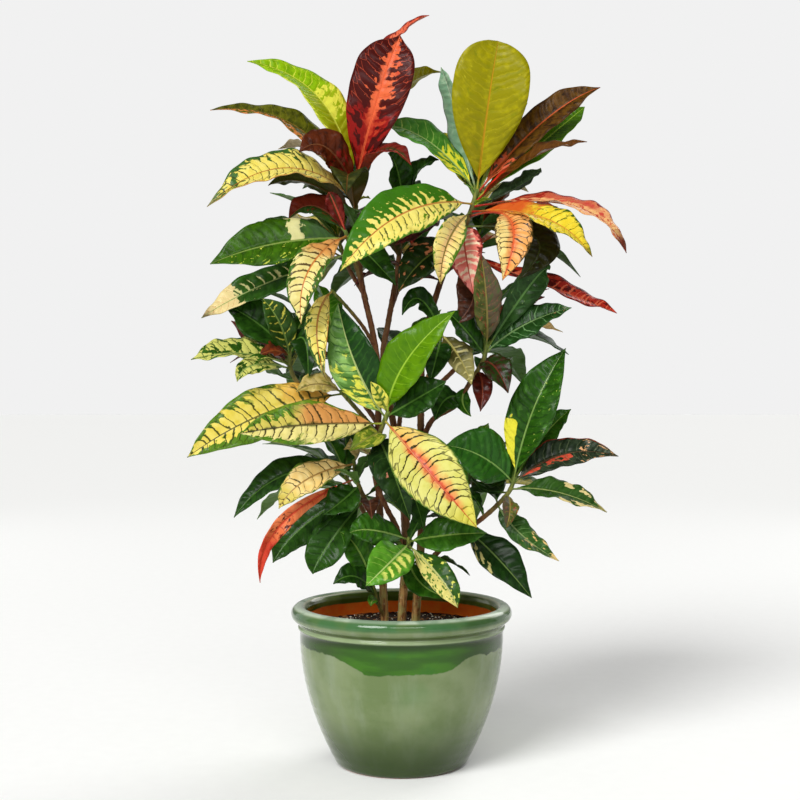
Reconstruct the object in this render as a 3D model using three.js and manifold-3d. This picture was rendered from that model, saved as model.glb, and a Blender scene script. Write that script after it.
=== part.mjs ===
// A potted croton: a glazed pot, potting mix and three leafy woody cuttings that stand in it.
// Millimetres, +Z up. The origin is the centre of the pot's foot on the ground, and -Y is the front.
import * as THREE from "three";
import { mergeVertices } from "three/addons/utils/BufferGeometryUtils.js";
import Module from "manifold-3d";

const wasm = await Module();
wasm.setup();

// Pot
const ROUND_SIDES = 36;
const FOOT_RADIUS = 94;
const FOOT_CHAMFER = 3;
const BODY_LOW_RADIUS = 97;
const SHOULDER_RADIUS = 152;
const SHOULDER_HEIGHT = 197;
const BODY_STEPS = 6;
const BEAD_RADIUS = 155;
const BEAD_HEIGHT = 203;
const GROOVE_RADIUS = 153;
const GROOVE_HEIGHT = 208;
const ROLL_RADIUS = 12;
const ROLL_CENTRE_RADIUS = 153;
const ROLL_CENTRE_HEIGHT = 223;
const ROLL_STEPS = 8;
const ROLL_START = -58;
const ROLL_SWEEP = 250;
const WALL = 9;
const POT_FLOOR = 14;

// Potting mix
const SOIL_HEIGHT = 204;
const SOIL_CROWN = 4;
const SOIL_FLAT_SHARE = 0.6;
const TOUCH_GAP = 0.3;
const HOLE_FLOOR = 150;
const HOLE_CLEARANCE = 2;

// Woody stems, leaf stalks and blades
const STEM_SIDES = 5;
const STEM_STEP = 60;
const STALK_SHARE = 0.1;
const STALK_HALF = 1.9;
const STALK_THICK = 3.4;
const BLADE_THICK = 1;
const FOLD = 0.3;
const WAVE = 3;
const SMALL_WIDTH = 46;
const ROOT_DEPTH = 1.5;
const ROOT_OFFSET = 0.5;
const HEEL = 2;
const WIDEST = 0.45;
const BLUNT = 1.9;
const SHOULDER_POWER = 0.75;

// A fan's youngest leaf stands at YOUNG_RISE degrees, and its oldest one hangs out nearly level.
const GOLDEN_SHARE = 0.618;
const YOUNG_RISE = 64;
const OLD_RISE = 2;
const YOUNG_DROOP = 18;
const OLD_DROOP = 42;
const YOUNG_LENGTH = 0.62;
const FAN_TOP = 6;
const FAN_DEPTH = 58;
const FAN_LEAF_SLIMNESS = 0.34;

const at = (x, y, z) => new THREE.Vector3(x, y, z);
const degrees = THREE.MathUtils.degToRad;
const { lerp } = THREE.MathUtils;

// Joins and cuts work on solids, and a scene mesh is made from the result.

function solidOf(geometry) {
  const bare = geometry.clone();
  bare.deleteAttribute("normal");
  bare.deleteAttribute("uv");
  const merged = mergeVertices(bare, 1e-4);
  return new wasm.Manifold(
    new wasm.Mesh({
      numProp: 3,
      vertProperties: new Float32Array(merged.attributes.position.array),
      triVerts: new Uint32Array(merged.index.array),
    }),
  );
}

function meshOf(name, solid, color, roughness) {
  const made = solid.getMesh();
  const geometry = new THREE.BufferGeometry();
  geometry.setAttribute("position", new THREE.BufferAttribute(made.vertProperties, 3));
  geometry.setIndex(new THREE.BufferAttribute(made.triVerts, 1));
  geometry.computeVertexNormals();
  const material = new THREE.MeshStandardMaterial({ color, roughness, metalness: 0 });
  const mesh = new THREE.Mesh(geometry, material);
  mesh.name = name;
  return mesh;
}

// A profile of [radius, height] pairs turned about the upright axis.
function turned(profile) {
  const points = profile.map(([radius, height]) => new THREE.Vector2(radius, height));
  return new THREE.LatheGeometry(points, ROUND_SIDES).rotateX(Math.PI / 2);
}

// Pot

function bodyRadius(height) {
  const left = 1 - height / SHOULDER_HEIGHT;
  return BODY_LOW_RADIUS + (SHOULDER_RADIUS - BODY_LOW_RADIUS) * (1 - left * left);
}

function potProfile() {
  const outside = [
    [0, 0],
    [FOOT_RADIUS, 0],
    [BODY_LOW_RADIUS, FOOT_CHAMFER],
  ];
  for (let i = 1; i <= BODY_STEPS; i++) {
    const height = FOOT_CHAMFER + ((SHOULDER_HEIGHT - FOOT_CHAMFER) * i) / BODY_STEPS;
    outside.push([bodyRadius(height), height]);
  }
  outside.push([BEAD_RADIUS, BEAD_HEIGHT], [GROOVE_RADIUS, GROOVE_HEIGHT]);
  const roll = [];
  for (let i = 0; i <= ROLL_STEPS; i++) {
    const angle = degrees(ROLL_START + (ROLL_SWEEP * i) / ROLL_STEPS);
    roll.push([
      ROLL_CENTRE_RADIUS + ROLL_RADIUS * Math.cos(angle),
      ROLL_CENTRE_HEIGHT + ROLL_RADIUS * Math.sin(angle),
    ]);
  }
  const inside = [];
  for (let i = BODY_STEPS; i >= 1; i--) {
    const height = POT_FLOOR + ((SHOULDER_HEIGHT - POT_FLOOR) * i) / BODY_STEPS;
    inside.push([bodyRadius(height) - WALL, height]);
  }
  inside.push([bodyRadius(POT_FLOOR) - WALL, POT_FLOOR], [0, POT_FLOOR]);
  return [...outside, ...roll, ...inside];
}

// Soil

function soilProfile() {
  const profile = [[0, POT_FLOOR + TOUCH_GAP]];
  for (let i = 0; i <= BODY_STEPS; i++) {
    const height = POT_FLOOR + ((SHOULDER_HEIGHT - POT_FLOOR) * i) / BODY_STEPS;
    profile.push([bodyRadius(height) - WALL - TOUCH_GAP, Math.max(height, POT_FLOOR + TOUCH_GAP)]);
  }
  const top = ROLL_CENTRE_RADIUS - ROLL_RADIUS - TOUCH_GAP;
  profile.push([top, SOIL_HEIGHT - SOIL_CROWN], [top * SOIL_FLAT_SHARE, SOIL_HEIGHT], [0, SOIL_HEIGHT]);
  return profile;
}

// A shoot is a tapered woody stem along a curve.

function shootCurve(points) {
  return new THREE.CatmullRomCurve3(
    points.map((p) => at(...p)),
    false,
    "centripetal",
  );
}

function shootSteps(curve) {
  return Math.max(2, Math.round(curve.getLength() / STEM_STEP));
}

function shootSolid({ points, low, high }) {
  const curve = shootCurve(points);
  const steps = shootSteps(curve);
  const frames = curve.computeFrenetFrames(steps);
  const geometry = new THREE.CylinderGeometry(high, low, 1, STEM_SIDES, steps);
  const place = geometry.attributes.position;
  for (let i = 0; i < place.count; i++) {
    const share = place.getY(i) + 0.5;
    const step = Math.round(share * steps);
    const moved = curve
      .getPointAt(share)
      .addScaledVector(frames.normals[step], place.getZ(i))
      .addScaledVector(frames.binormals[step], place.getX(i));
    place.setXYZ(i, moved.x, moved.y, moved.z);
  }
  return solidOf(geometry);
}

// A leaf is a stalk and a blade in one piece, folded along its rib and waved at its edges.
// mid and tip are points on the rib, face is the way that its upper side looks.

const STATIONS = [STALK_SHARE, 0.32, 0.56, 0.8];
const SMALL_STATIONS = [STALK_SHARE, 0.4, 0.75];

function halfWidth(share, { width, widest, blunt }) {
  const along = (share - STALK_SHARE) / (1 - STALK_SHARE);
  const full =
    along < widest
      ? Math.pow(1 - Math.pow((widest - along) / widest, 2), SHOULDER_POWER)
      : 1 - Math.pow((along - widest) / (1 - widest), blunt);
  return Math.max(STALK_HALF, (width / 2) * full);
}

function leafSolid(leaf) {
  const { root, mid, tip, face } = leaf;
  const control = mid.clone().multiplyScalar(2).addScaledVector(root, -0.5).addScaledVector(tip, -0.5);
  const rib = new THREE.QuadraticBezierCurve3(root, control, tip);
  const stations = leaf.width < SMALL_WIDTH ? SMALL_STATIONS : STATIONS;
  const places = [];
  stations.forEach((share, i) => {
    const centre = rib.getPoint(share);
    const along = rib.getTangent(share);
    const up = face.clone().addScaledVector(along, -face.dot(along)).normalize();
    const side = along.clone().cross(up);
    const half = halfWidth(share, leaf);
    const blade = i > 0 ? 1 : 0;
    const thick = blade ? BLADE_THICK : STALK_THICK;
    const wave = i % 2 ? -WAVE : WAVE;
    for (const level of [0.5, -0.5])
      for (const across of [-1, 0, 1]) {
        const lift = Math.abs(across) * FOLD * half * blade + across * wave * blade;
        places.push(
          centre
            .clone()
            .addScaledVector(side, across * half)
            .addScaledVector(up, lift + level * thick),
        );
      }
  });
  const faces = [];
  const quad = (a, b, c, d) => faces.push(a, b, c, a, c, d);
  for (let i = 0; i + 1 < stations.length; i++) {
    const near = 6 * i;
    const far = near + 6;
    for (const k of [0, 1]) {
      quad(near + k, near + k + 1, far + k + 1, far + k);
      faces.push(near + k + 3, far + k + 4, near + k + 4, near + k + 3, far + k + 3, far + k + 4);
    }
    quad(near + 3, near, far, far + 3);
    quad(near + 2, near + 5, far + 5, far + 2);
  }
  const last = 6 * (stations.length - 1);
  const heel = places.push(rib.getPoint(0).addScaledVector(rib.getTangent(0), -HEEL)) - 1;
  const point = places.push(tip) - 1;
  const rim = [0, 1, 2, 5, 4, 3];
  rim.forEach((corner, k) => {
    const next = rim[(k + 1) % rim.length];
    faces.push(next, corner, heel, last + corner, last + next, point);
  });
  const geometry = new THREE.BufferGeometry().setFromPoints(places);
  geometry.setIndex(faces);
  return solidOf(geometry);
}

// Where a leaf starts, inside its shoot and toward its blade: down is the distance below the shoot's tip.
function rootOn(curve, down, toward) {
  const steps = shootSteps(curve);
  const place = Math.max(0, 1 - (down + ROOT_DEPTH) / curve.getLength()) * steps;
  const step = Math.min(Math.floor(place), steps - 1);
  const near = curve.getPointAt(step / steps);
  const far = curve.getPointAt((step + 1) / steps);
  const centre = near.clone().lerp(far, place - step);
  const along = far.sub(near).normalize();
  const out = toward.clone().sub(centre);
  out.addScaledVector(along, -out.dot(along)).setLength(ROOT_OFFSET);
  return centre.add(out);
}

// Leaves fanned about a shoot's tip: the youngest stands up and is small, the oldest hangs out.
function fanLeaves(curve, { count, heading, spread, length, turn = 0 }) {
  const leaves = [];
  for (let k = 0; k < count; k++) {
    const age = (k + 0.5) / count;
    const share = (k * GOLDEN_SHARE + turn) % 1;
    const azimuth = degrees(heading + spread * (2 * share - 1));
    const out = at(Math.cos(azimuth), Math.sin(azimuth), 0);
    const rise = degrees(lerp(YOUNG_RISE, OLD_RISE, age));
    const droop = degrees(lerp(YOUNG_DROOP, OLD_DROOP, age));
    const reach = length * lerp(YOUNG_LENGTH, 1, age);
    const down = FAN_TOP + FAN_DEPTH * age;
    const root = rootOn(curve, down, curve.getPoint(1).addScaledVector(out, length));
    const step = (angle) => out.clone().multiplyScalar(Math.cos(angle)).add(at(0, 0, Math.sin(angle)));
    const mid = root.clone().addScaledVector(step(rise), reach / 2);
    const tip = mid.clone().addScaledVector(step(rise - droop), reach / 2);
    const face = at(0, 0, Math.cos(rise)).addScaledVector(out, -Math.sin(rise));
    leaves.push({ root, mid, tip, width: reach * FAN_LEAF_SLIMNESS, face, widest: WIDEST, blunt: BLUNT });
  }
  return leaves;
}

// The plants. A shoot lists its route, its radius low and high, its single leaves and its fans.
// A single leaf is [down the shoot, mid of the rib, tip, width, way its upper side looks, widest, blunt].

const leftPlant = {
  main: {
    low: 6.2,
    high: 3.6,
    points: [
      [-24, 0, HOLE_FLOOR + TOUCH_GAP],
      [-25, 0, SOIL_HEIGHT],
      [-31, 4, 330],
      [-35, 8, 450],
      [-36, 6, 592],
      [-44, 2, 645],
      [-59, 0, 712],
      [-67, 0, 790],
      [-70, 0, 866],
    ],
    leaves: [
      [6, [-124, 20, 996], [-235, 30, 1056], 64, [0.3, -0.7, 0.6]],
      [30, [-157, -8, 948], [-284, -20, 970], 52, [0, -0.6, 0.8]],
      [44, [-125, 45, 915], [-191, 60, 928], 50, [0, 0.2, 1]],
      [14, [-108, -45, 908], [-149, -60, 900], 56, [0.1, -0.9, 0.4]],
      [26, [-169, -60, 877], [-278, -90, 816], 72, [-0.1, -0.7, 0.7]],
      [44, [-141, 10, 868], [-200, 2, 862], 56, [0, 0.35, 0.94]],
      [4, [-37, -34, 980], [-2, -24, 1080], 90, [-0.1, -0.95, 0.1], 0.6, 2.6],
      [8, [-34, 26, 1044], [42, 20, 1123], 60, [-0.5, -0.4, 0.7]],
      [12, [-12, 62, 1005], [64, 78, 1052], 58, [0, 0.3, 0.95]],
      [20, [-30, -45, 903], [14, -66, 880], 48, [0, -0.5, 0.85]],
      [52, [-76, -52, 868], [-78, -102, 832], 56, [0, -0.3, 0.95]],
    ],
    fans: [{ count: 3, heading: 120, spread: 36, length: 190 }],
  },
  upper: {
    low: 3.6,
    high: 3,
    points: [
      [-53, 1, 690],
      [-66, -18, 735],
      [-83, -40, 790],
    ],
    leaves: [
      [12, [-184, -60, 767], [-275, -82, 735], 74, [0, -0.95, 0.35]],
      [4, [-128, -30, 826], [-166, -38, 806], 52, [0, -0.7, 0.7]],
      [8, [-131, -108, 724], [-141, -118, 647], 52, [-0.2, -0.97, 0.15]],
      [34, [-206, -25, 710], [-293, -45, 660], 54, [0, -0.8, 0.6]],
      [8, [-46, -64, 748], [-8, -70, 706], 50, [0, -0.7, 0.7]],
      [2, [-98, -52, 826], [-106, -60, 842], 24, [-0.2, -0.9, 0.3]],
    ],
    fans: [],
  },
  reach: {
    low: 4,
    high: 3,
    points: [
      [-35, 8, 470],
      [-95, -6, 520],
      [-151, -20, 562],
      [-163, -22, 582],
      [-167, -22, 616],
    ],
    leaves: [
      [4, [-217, -20, 656], [-265, -30, 682], 66, [-0.1, -0.75, 0.6]],
      [10, [-178, -52, 652], [-203, -62, 688], 44, [0.2, -0.9, 0.3]],
      [16, [-209, 10, 623], [-258, 20, 660], 50, [0, 0.7, 0.7]],
      [8, [-188, -38, 612], [-207, -44, 606], 34, [0, -0.6, 0.8]],
      [22, [-235, -58, 608], [-303, -78, 598], 68, [0, -0.5, 0.85]],
      [28, [-212, -84, 590], [-234, -98, 566], 30, [0.1, -0.9, 0.4]],
      [46, [-187, -10, 580], [-219, -18, 599], 34, [0, 0.3, 0.95]],
      [2, [-142, -52, 628], [-136, -62, 566], 42, [0, -0.9, 0.4]],
    ],
    fans: [{ count: 3, heading: 104, spread: 30, length: 170 }],
  },
  twig: {
    low: 3,
    high: 2.4,
    points: [
      [-40, 4, 620],
      [-58, -20, 650],
      [-85, -38, 682],
      [-104, -46, 702],
    ],
    leaves: [[2, [-121, -86, 648], [-109, -96, 572], 34, [0, -1, 0.2]]],
    fans: [],
  },
  centre: {
    low: 3.4,
    high: 3,
    points: [
      [-36, 8, 490],
      [-65, -25, 525],
      [-90, -48, 554],
    ],
    leaves: [
      [6, [-200, -80, 519], [-305, -98, 458], 78, [0, -0.95, 0.35]],
      [2, [-121, -62, 563], [-152, -74, 552], 36, [0, -0.8, 0.6]],
    ],
    fans: [],
  },
  low: {
    low: 4,
    high: 3,
    points: [
      [-31, 4, 335],
      [-50, -30, 385],
      [-64, -52, 420],
      [-70, -62, 454],
    ],
    leaves: [
      [14, [-171, -40, 430], [-245, -48, 368], 52, [0, -0.7, 0.7]],
      [6, [-133, -105, 428], [-173, -116, 387], 48, [0, -0.85, 0.5]],
      [28, [-172, -84, 362], [-202, -90, 279], 34, [0.5, -0.8, 0.2]],
      [50, [-142, -40, 356], [-188, -50, 302], 60, [0, -0.75, 0.65]],
      [66, [-107, -60, 329], [-128, -74, 289], 56, [0, -0.9, 0.4]],
      [40, [-84, -74, 396], [-111, -86, 376], 50, [0, -0.8, 0.6]],
      [2, [-62, -78, 472], [-82, -104, 470], 30, [0, -0.6, 0.8]],
    ],
    fans: [],
  },
  foot: {
    low: 3,
    high: 2.4,
    points: [
      [-26, 0, 214],
      [-35, -20, 240],
      [-42, -32, 268],
    ],
    leaves: [
      [3, [-64, -52, 322], [-89, -60, 348], 48, [0, -0.8, 0.6]],
      [20, [-66, -66, 284], [-98, -84, 276], 40, [0, -0.8, 0.6]],
      [34, [-42, -42, 246], [-45, -48, 238], 16, [0, -0.9, 0.4]],
    ],
    fans: [],
  },
  backTop: {
    low: 3.6,
    high: 3,
    points: [
      [-57, 0, 700],
      [-82, 48, 745],
      [-102, 84, 800],
    ],
    leaves: [],
    fans: [{ count: 6, heading: 164, spread: 60, length: 195 }],
  },
  back: {
    low: 4,
    high: 3,
    points: [
      [-36, 8, 505],
      [-78, 65, 565],
      [-112, 118, 640],
    ],
    leaves: [],
    fans: [{ count: 6, heading: 152, spread: 70, length: 205, turn: 0.2 }],
  },
  backLow: {
    low: 4,
    high: 3,
    points: [
      [-30, 4, 320],
      [-60, 60, 370],
      [-95, 108, 432],
    ],
    leaves: [],
    fans: [{ count: 6, heading: 158, spread: 66, length: 200, turn: 0.4 }],
  },
};

const middlePlant = {
  main: {
    low: 6.6,
    high: 3.6,
    points: [
      [0, 5, HOLE_FLOOR + TOUCH_GAP],
      [0, 5, SOIL_HEIGHT],
      [7, 9, 330],
      [4, 14, 400],
      [-8, 22, 480],
      [-28, 36, 607],
      [-20, 40, 660],
      [-7, 40, 735],
      [5, 40, 842],
    ],
    leaves: [
      [4, [25, 12, 884], [56, 0, 900], 44, [0, -0.6, 0.8]],
      [12, [-6, -6, 882], [-20, -28, 905], 44, [0, -0.7, 0.5]],
      [30, [32, -20, 800], [-10, -62, 764], 50, [0, -0.6, 0.8]],
    ],
    fans: [{ count: 2, heading: 90, spread: 32, length: 170, turn: 0.3 }],
  },
  front: {
    low: 4.2,
    high: 3.4,
    points: [
      [3, 8, 290],
      [-6, -16, 347],
      [-22, -34, 381],
      [-38, -52, 423],
      [-34, -62, 482],
      [-19, -80, 524],
    ],
    leaves: [
      [4, [6, -106, 594], [75, -120, 665], 68, [-0.3, -0.9, 0.3]],
      [10, [-66, -78, 590], [-92, -64, 681], 72, [-0.3, -0.9, 0.3]],
      [2, [-31, -92, 545], [-44, -96, 566], 20, [0, -1, 0.2]],
      [14, [37, -140, 441], [104, -152, 364], 86, [-0.1, -0.95, 0.3]],
      [20, [-135, -130, 505], [-224, -144, 493], 64, [0, -0.95, 0.35]],
      [8, [24, -96, 543], [63, -106, 566], 58, [0, -0.85, 0.5]],
      [44, [-16, -100, 448], [12, -112, 370], 60, [0, -0.95, 0.3]],
      [36, [-44, -94, 488], [-74, -106, 468], 40, [0, -0.8, 0.5]],
    ],
    fans: [],
  },
  low: {
    low: 3.6,
    high: 3,
    points: [
      [2, 7, 255],
      [6, -18, 290],
      [10, -42, 320],
      [10, -50, 340],
    ],
    leaves: [
      [3, [-42, -80, 353], [-74, -90, 350], 52, [0, -0.85, 0.5]],
      [10, [-16, -110, 311], [-50, -130, 280], 60, [0.1, -0.85, 0.5]],
      [6, [66, -82, 346], [122, -92, 350], 54, [0, -0.85, 0.5]],
      [12, [54, -106, 289], [79, -120, 248], 40, [0, -0.85, 0.4]],
      [30, [27, -70, 276], [68, -92, 258], 42, [0, -0.75, 0.65]],
    ],
    fans: [],
  },
  backTop: {
    low: 3.6,
    high: 3,
    points: [
      [-16, 40, 680],
      [2, 90, 735],
      [20, 128, 792],
    ],
    leaves: [],
    fans: [{ count: 5, heading: 90, spread: 48, length: 195, turn: 0.5 }],
  },
  back: {
    low: 4,
    high: 3,
    points: [
      [-7, 21, 470],
      [0, 80, 530],
      [10, 138, 602],
    ],
    leaves: [],
    fans: [{ count: 5, heading: 90, spread: 50, length: 205, turn: 0.1 }],
  },
  backLow: {
    low: 4,
    high: 3,
    points: [
      [6, 8, 300],
      [3, 80, 345],
      [0, 145, 402],
    ],
    leaves: [],
    fans: [{ count: 5, heading: 92, spread: 50, length: 200, turn: 0.3 }],
  },
};

const rightPlant = {
  main: {
    low: 6.6,
    high: 3.8,
    points: [
      [21, 0, HOLE_FLOOR + TOUCH_GAP],
      [21, 0, SOIL_HEIGHT],
      [29, -2, 320],
      [31, 2, 400],
      [29, 6, 520],
      [33, 5, 620],
      [50, 2, 690],
      [75, 0, 760],
      [100, 0, 812],
      [115, 0, 858],
    ],
    leaves: [
      [6, [35, 2, 932], [-49, 4, 954], 68, [0.2, -0.65, 0.75]],
      [14, [77, 44, 918], [54, 64, 956], 48, [0.3, -0.6, 0.6]],
      [8, [84, 12, 966], [60, 22, 1045], 54, [-0.9, -0.35, 0.2]],
      [4, [127, -30, 970], [142, -40, 1067], 112, [0, 1, 0.05], 0.62, 4],
      [12, [161, 22, 940], [192, 32, 993], 55, [-0.5, 0.3, 0.8]],
      [10, [212, -10, 950], [295, -20, 1004], 62, [-0.3, -0.85, 0.4]],
      [18, [226, 30, 940], [282, 45, 990], 55, [0, 0.3, 0.95]],
      [24, [190, -50, 894], [269, -64, 914], 50, [0, -0.45, 0.9]],
      [30, [178, 4, 862], [210, 10, 890], 44, [0, -0.4, 0.9]],
      [28, [250, -60, 822], [323, -80, 751], 48, [0.1, -0.45, 0.85]],
      [36, [203, -92, 800], [269, -112, 742], 56, [0, -0.6, 0.8]],
      [44, [150, -110, 774], [141, -120, 709], 60, [0, -1, 0.3]],
      [60, [196, -45, 778], [170, -55, 715], 66, [0.3, -0.8, 0.5]],
      [100, [228, -12, 706], [318, -30, 668], 48, [0, -0.5, 0.85]],
      [62, [100, -60, 772], [79, -74, 712], 54, [-0.2, -0.95, 0.2]],
      [74, [107, -52, 704], [77, -66, 650], 52, [-0.2, -0.9, 0.3]],
      [36, [66, -112, 764], [55, -118, 703], 40, [0.2, -0.95, 0.2]],
      [24, [2, -92, 806], [-86, -130, 720], 82, [0.1, -0.9, 0.45]],
      [90, [35, -40, 748], [-5, -62, 697], 58, [0.1, -0.85, 0.5]],
    ],
    fans: [{ count: 3, heading: 78, spread: 36, length: 190, turn: 0.45 }],
  },
  mid: {
    low: 4.2,
    high: 3.2,
    points: [
      [29, 4, 470],
      [46, -8, 510],
      [80, -18, 532],
      [99, -26, 562],
      [121, -30, 600],
      [127, -30, 626],
    ],
    leaves: [
      [12, [189, -46, 709], [215, -60, 729], 44, [0.2, -0.9, 0.3]],
      [4, [169, -8, 667], [214, -8, 694], 48, [0, 0.4, 0.9]],
      [16, [180, -42, 650], [247, -60, 674], 56, [-0.1, -0.8, 0.6]],
      [6, [122, -84, 700], [103, -82, 772], 46, [-0.3, 0.9, 0.2]],
      [20, [92, -62, 642], [66, -72, 667], 50, [0.1, -0.8, 0.6]],
      [30, [136, -62, 587], [153, -82, 550], 45, [0, -0.85, 0.5]],
      [44, [118, -52, 560], [114, -66, 523], 30, [0, -0.9, 0.3]],
      [90, [64, -40, 540], [49, -60, 511], 44, [0, -0.9, 0.4]],
      [70, [90, -30, 538], [102, -46, 516], 24, [0, -0.9, 0.4]],
    ],
    fans: [{ count: 2, heading: 92, spread: 30, length: 160, turn: 0.4 }],
  },
  twig: {
    low: 3,
    high: 2.6,
    points: [
      [30, 6, 560],
      [48, -12, 592],
      [60, -30, 640],
    ],
    leaves: [
      [3, [82, -60, 605], [101, -76, 562], 40, [0, -0.9, 0.4]],
      [10, [51, -70, 605], [41, -86, 566], 40, [0, -0.9, 0.4]],
      [2, [27, -34, 688], [1, -50, 664], 34, [0, -0.8, 0.5]],
    ],
    fans: [],
  },
  low: {
    low: 4.2,
    high: 3.2,
    points: [
      [27, -1, 280],
      [62, -6, 320],
      [114, -15, 359],
      [140, -20, 382],
      [160, -22, 405],
      [169, -20, 428],
    ],
    leaves: [
      [6, [194, -36, 526], [244, -20, 617], 72, [-0.3, -0.9, 0.3]],
      [4, [216, 12, 487], [257, 20, 526], 44, [-0.2, -0.7, 0.6]],
      [12, [238, -22, 459], [320, -32, 457], 54, [0, -0.75, 0.65]],
      [20, [229, -52, 405], [298, -62, 377], 46, [0, -0.6, 0.8]],
      [10, [118, -48, 457], [64, -62, 474], 82, [0.1, -0.9, 0.4]],
      [50, [172, -60, 346], [227, -75, 308], 42, [0, -0.55, 0.83]],
      [110, [140, -52, 309], [188, -70, 254], 58, [0, -0.75, 0.65]],
      [30, [157, -66, 384], [151, -72, 355], 24, [0.2, -0.9, 0.2]],
      [26, [112, 22, 400], [84, 30, 388], 40, [0, -0.4, 0.9]],
    ],
    fans: [{ count: 2, heading: 92, spread: 24, length: 170 }],
  },
  backTop: {
    low: 3.6,
    high: 3,
    points: [
      [64, 1, 730],
      [100, 50, 765],
      [130, 88, 805],
    ],
    leaves: [],
    fans: [{ count: 6, heading: 28, spread: 70, length: 195, turn: 0.15 }],
  },
  back: {
    low: 4,
    high: 3,
    points: [
      [29, 6, 540],
      [80, 60, 585],
      [130, 108, 642],
    ],
    leaves: [],
    fans: [{ count: 6, heading: 26, spread: 70, length: 205, turn: 0.6 }],
  },
  backLow: {
    low: 4,
    high: 3,
    points: [
      [30, -1, 330],
      [70, 60, 370],
      [110, 112, 412],
    ],
    leaves: [],
    fans: [{ count: 6, heading: 24, spread: 64, length: 200, turn: 0.8 }],
  },
};

function leavesOf({ points, leaves, fans }) {
  const curve = shootCurve(points);
  const single = leaves.map(([down, mid, tip, width, face, widest = WIDEST, blunt = BLUNT]) => ({
    root: rootOn(curve, down, at(...mid)),
    mid: at(...mid),
    tip: at(...tip),
    width,
    face: at(...face).normalize(),
    widest,
    blunt,
  }));
  return [...single, ...fans.flatMap((fan) => fanLeaves(curve, fan))];
}

function plantSolid(plant) {
  const shoots = Object.values(plant);
  return wasm.Manifold.union([
    ...shoots.map(shootSolid),
    ...shoots.flatMap(leavesOf).map(leafSolid),
  ]);
}

// The soil keeps a plain hole round the foot of each main stem.
function stemHole({ points, low }) {
  const [x, y] = points[0];
  const depth = SOIL_HEIGHT - HOLE_FLOOR + SOIL_CROWN;
  const radius = low + HOLE_CLEARANCE;
  const hole = new THREE.CylinderGeometry(radius, radius, depth, STEM_SIDES * 2);
  hole.rotateX(Math.PI / 2).translate(x, y, HOLE_FLOOR + depth / 2);
  return solidOf(hole);
}

const plants = { left: leftPlant, middle: middlePlant, right: rightPlant };
const holes = Object.values(plants).map((plant) => stemHole(plant.main));
const soil = solidOf(turned(soilProfile())).subtract(wasm.Manifold.union(holes));

const group = new THREE.Group();
group.add(meshOf("pot", solidOf(turned(potProfile())), 0x7f9b7c, 0.15));
group.add(meshOf("soil", soil, 0x2a1c14, 0.95));
group.add(meshOf("leafy_stem_left", plantSolid(leftPlant), 0x3f6b1e, 0.4));
group.add(meshOf("leafy_stem_middle", plantSolid(middlePlant), 0x55701f, 0.4));
group.add(meshOf("leafy_stem_right", plantSolid(rightPlant), 0x8a4a22, 0.4));

export default group;
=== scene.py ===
import math
import random
from types import SimpleNamespace

import bpy
import numpy as np
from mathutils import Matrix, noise


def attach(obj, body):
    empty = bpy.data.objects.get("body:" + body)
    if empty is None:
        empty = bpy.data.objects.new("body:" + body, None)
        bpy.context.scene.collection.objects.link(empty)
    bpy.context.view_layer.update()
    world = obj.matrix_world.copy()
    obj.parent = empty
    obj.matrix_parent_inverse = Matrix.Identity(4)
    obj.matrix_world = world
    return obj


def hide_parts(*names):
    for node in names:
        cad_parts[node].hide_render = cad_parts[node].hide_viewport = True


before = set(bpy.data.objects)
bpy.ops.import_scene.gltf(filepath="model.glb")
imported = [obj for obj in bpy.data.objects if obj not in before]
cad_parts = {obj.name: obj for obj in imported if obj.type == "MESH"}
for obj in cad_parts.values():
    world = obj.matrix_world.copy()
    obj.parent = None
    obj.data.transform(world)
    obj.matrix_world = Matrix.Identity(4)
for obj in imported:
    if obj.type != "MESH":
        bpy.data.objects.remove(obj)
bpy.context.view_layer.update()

# The studio: a wide pale matt floor under a broad soft key light from the upper left and a weaker one from
# behind, with a tall softbox at each side that draws the pot's pale edges and one in front for its rim.
# The camera stands level at the height of the middle leaves.

CAMERA_PLACE = (-0.00225, -1.9, 0.54)
CAMERA_LENS = 57.0
FLOOR_SIZE = 90
SURROUND_SEEN, SURROUND_FILL = 0.88, 0.27


class Wire:
    """A node's output on its way to other nodes. Arithmetic with it adds the maths nodes."""

    def __init__(self, tree, socket):
        self.tree = tree
        self.socket = socket

    def __add__(self, other):
        return reckon("ADD", self, other)

    def __sub__(self, other):
        return reckon("SUBTRACT", self, other)

    def __rsub__(self, other):
        return reckon("SUBTRACT", other, self)

    def __mul__(self, other):
        return reckon("MULTIPLY", self, other)

    def __abs__(self):
        return reckon("ABSOLUTE", self)

    def scaled(self, by, more):
        return reckon("MULTIPLY_ADD", self, by, more)


def tint(code):
    """A six-figure web colour as the linear colour that a shader takes."""
    parts = [int(code[i : i + 2], 16) / 255 for i in (0, 2, 4)]
    return [*(p / 12.92 if p < 0.04 else ((p + 0.055) / 1.055) ** 2.4 for p in parts), 1.0]


def join_in(socket, value):
    """Gives a socket another node's output, a number or a web colour."""
    if isinstance(value, Wire):
        value.tree.links.new(value.socket, socket)
    else:
        socket.default_value = tint(value) if isinstance(value, str) else value


def add_node(kind, values, output=0, **settings):
    """The output of a new node of that kind, with a value for each socket named."""
    tree = next(value.tree for value in values.values() if isinstance(value, Wire))
    node = tree.nodes.new("ShaderNode" + kind)
    for setting, choice in settings.items():
        setattr(node, setting, choice)
    for socket, value in values.items():
        join_in(node.inputs[socket], value)
    return Wire(tree, node.outputs[output])


def reckon(operation, *values):
    return add_node("Math", dict(enumerate(values)), operation=operation)


def lay(share, below, above):
    """One colour laid over another by share."""
    return add_node("Mix", {0: share, 6: below, 7: above}, 2, data_type="RGBA")


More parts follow.
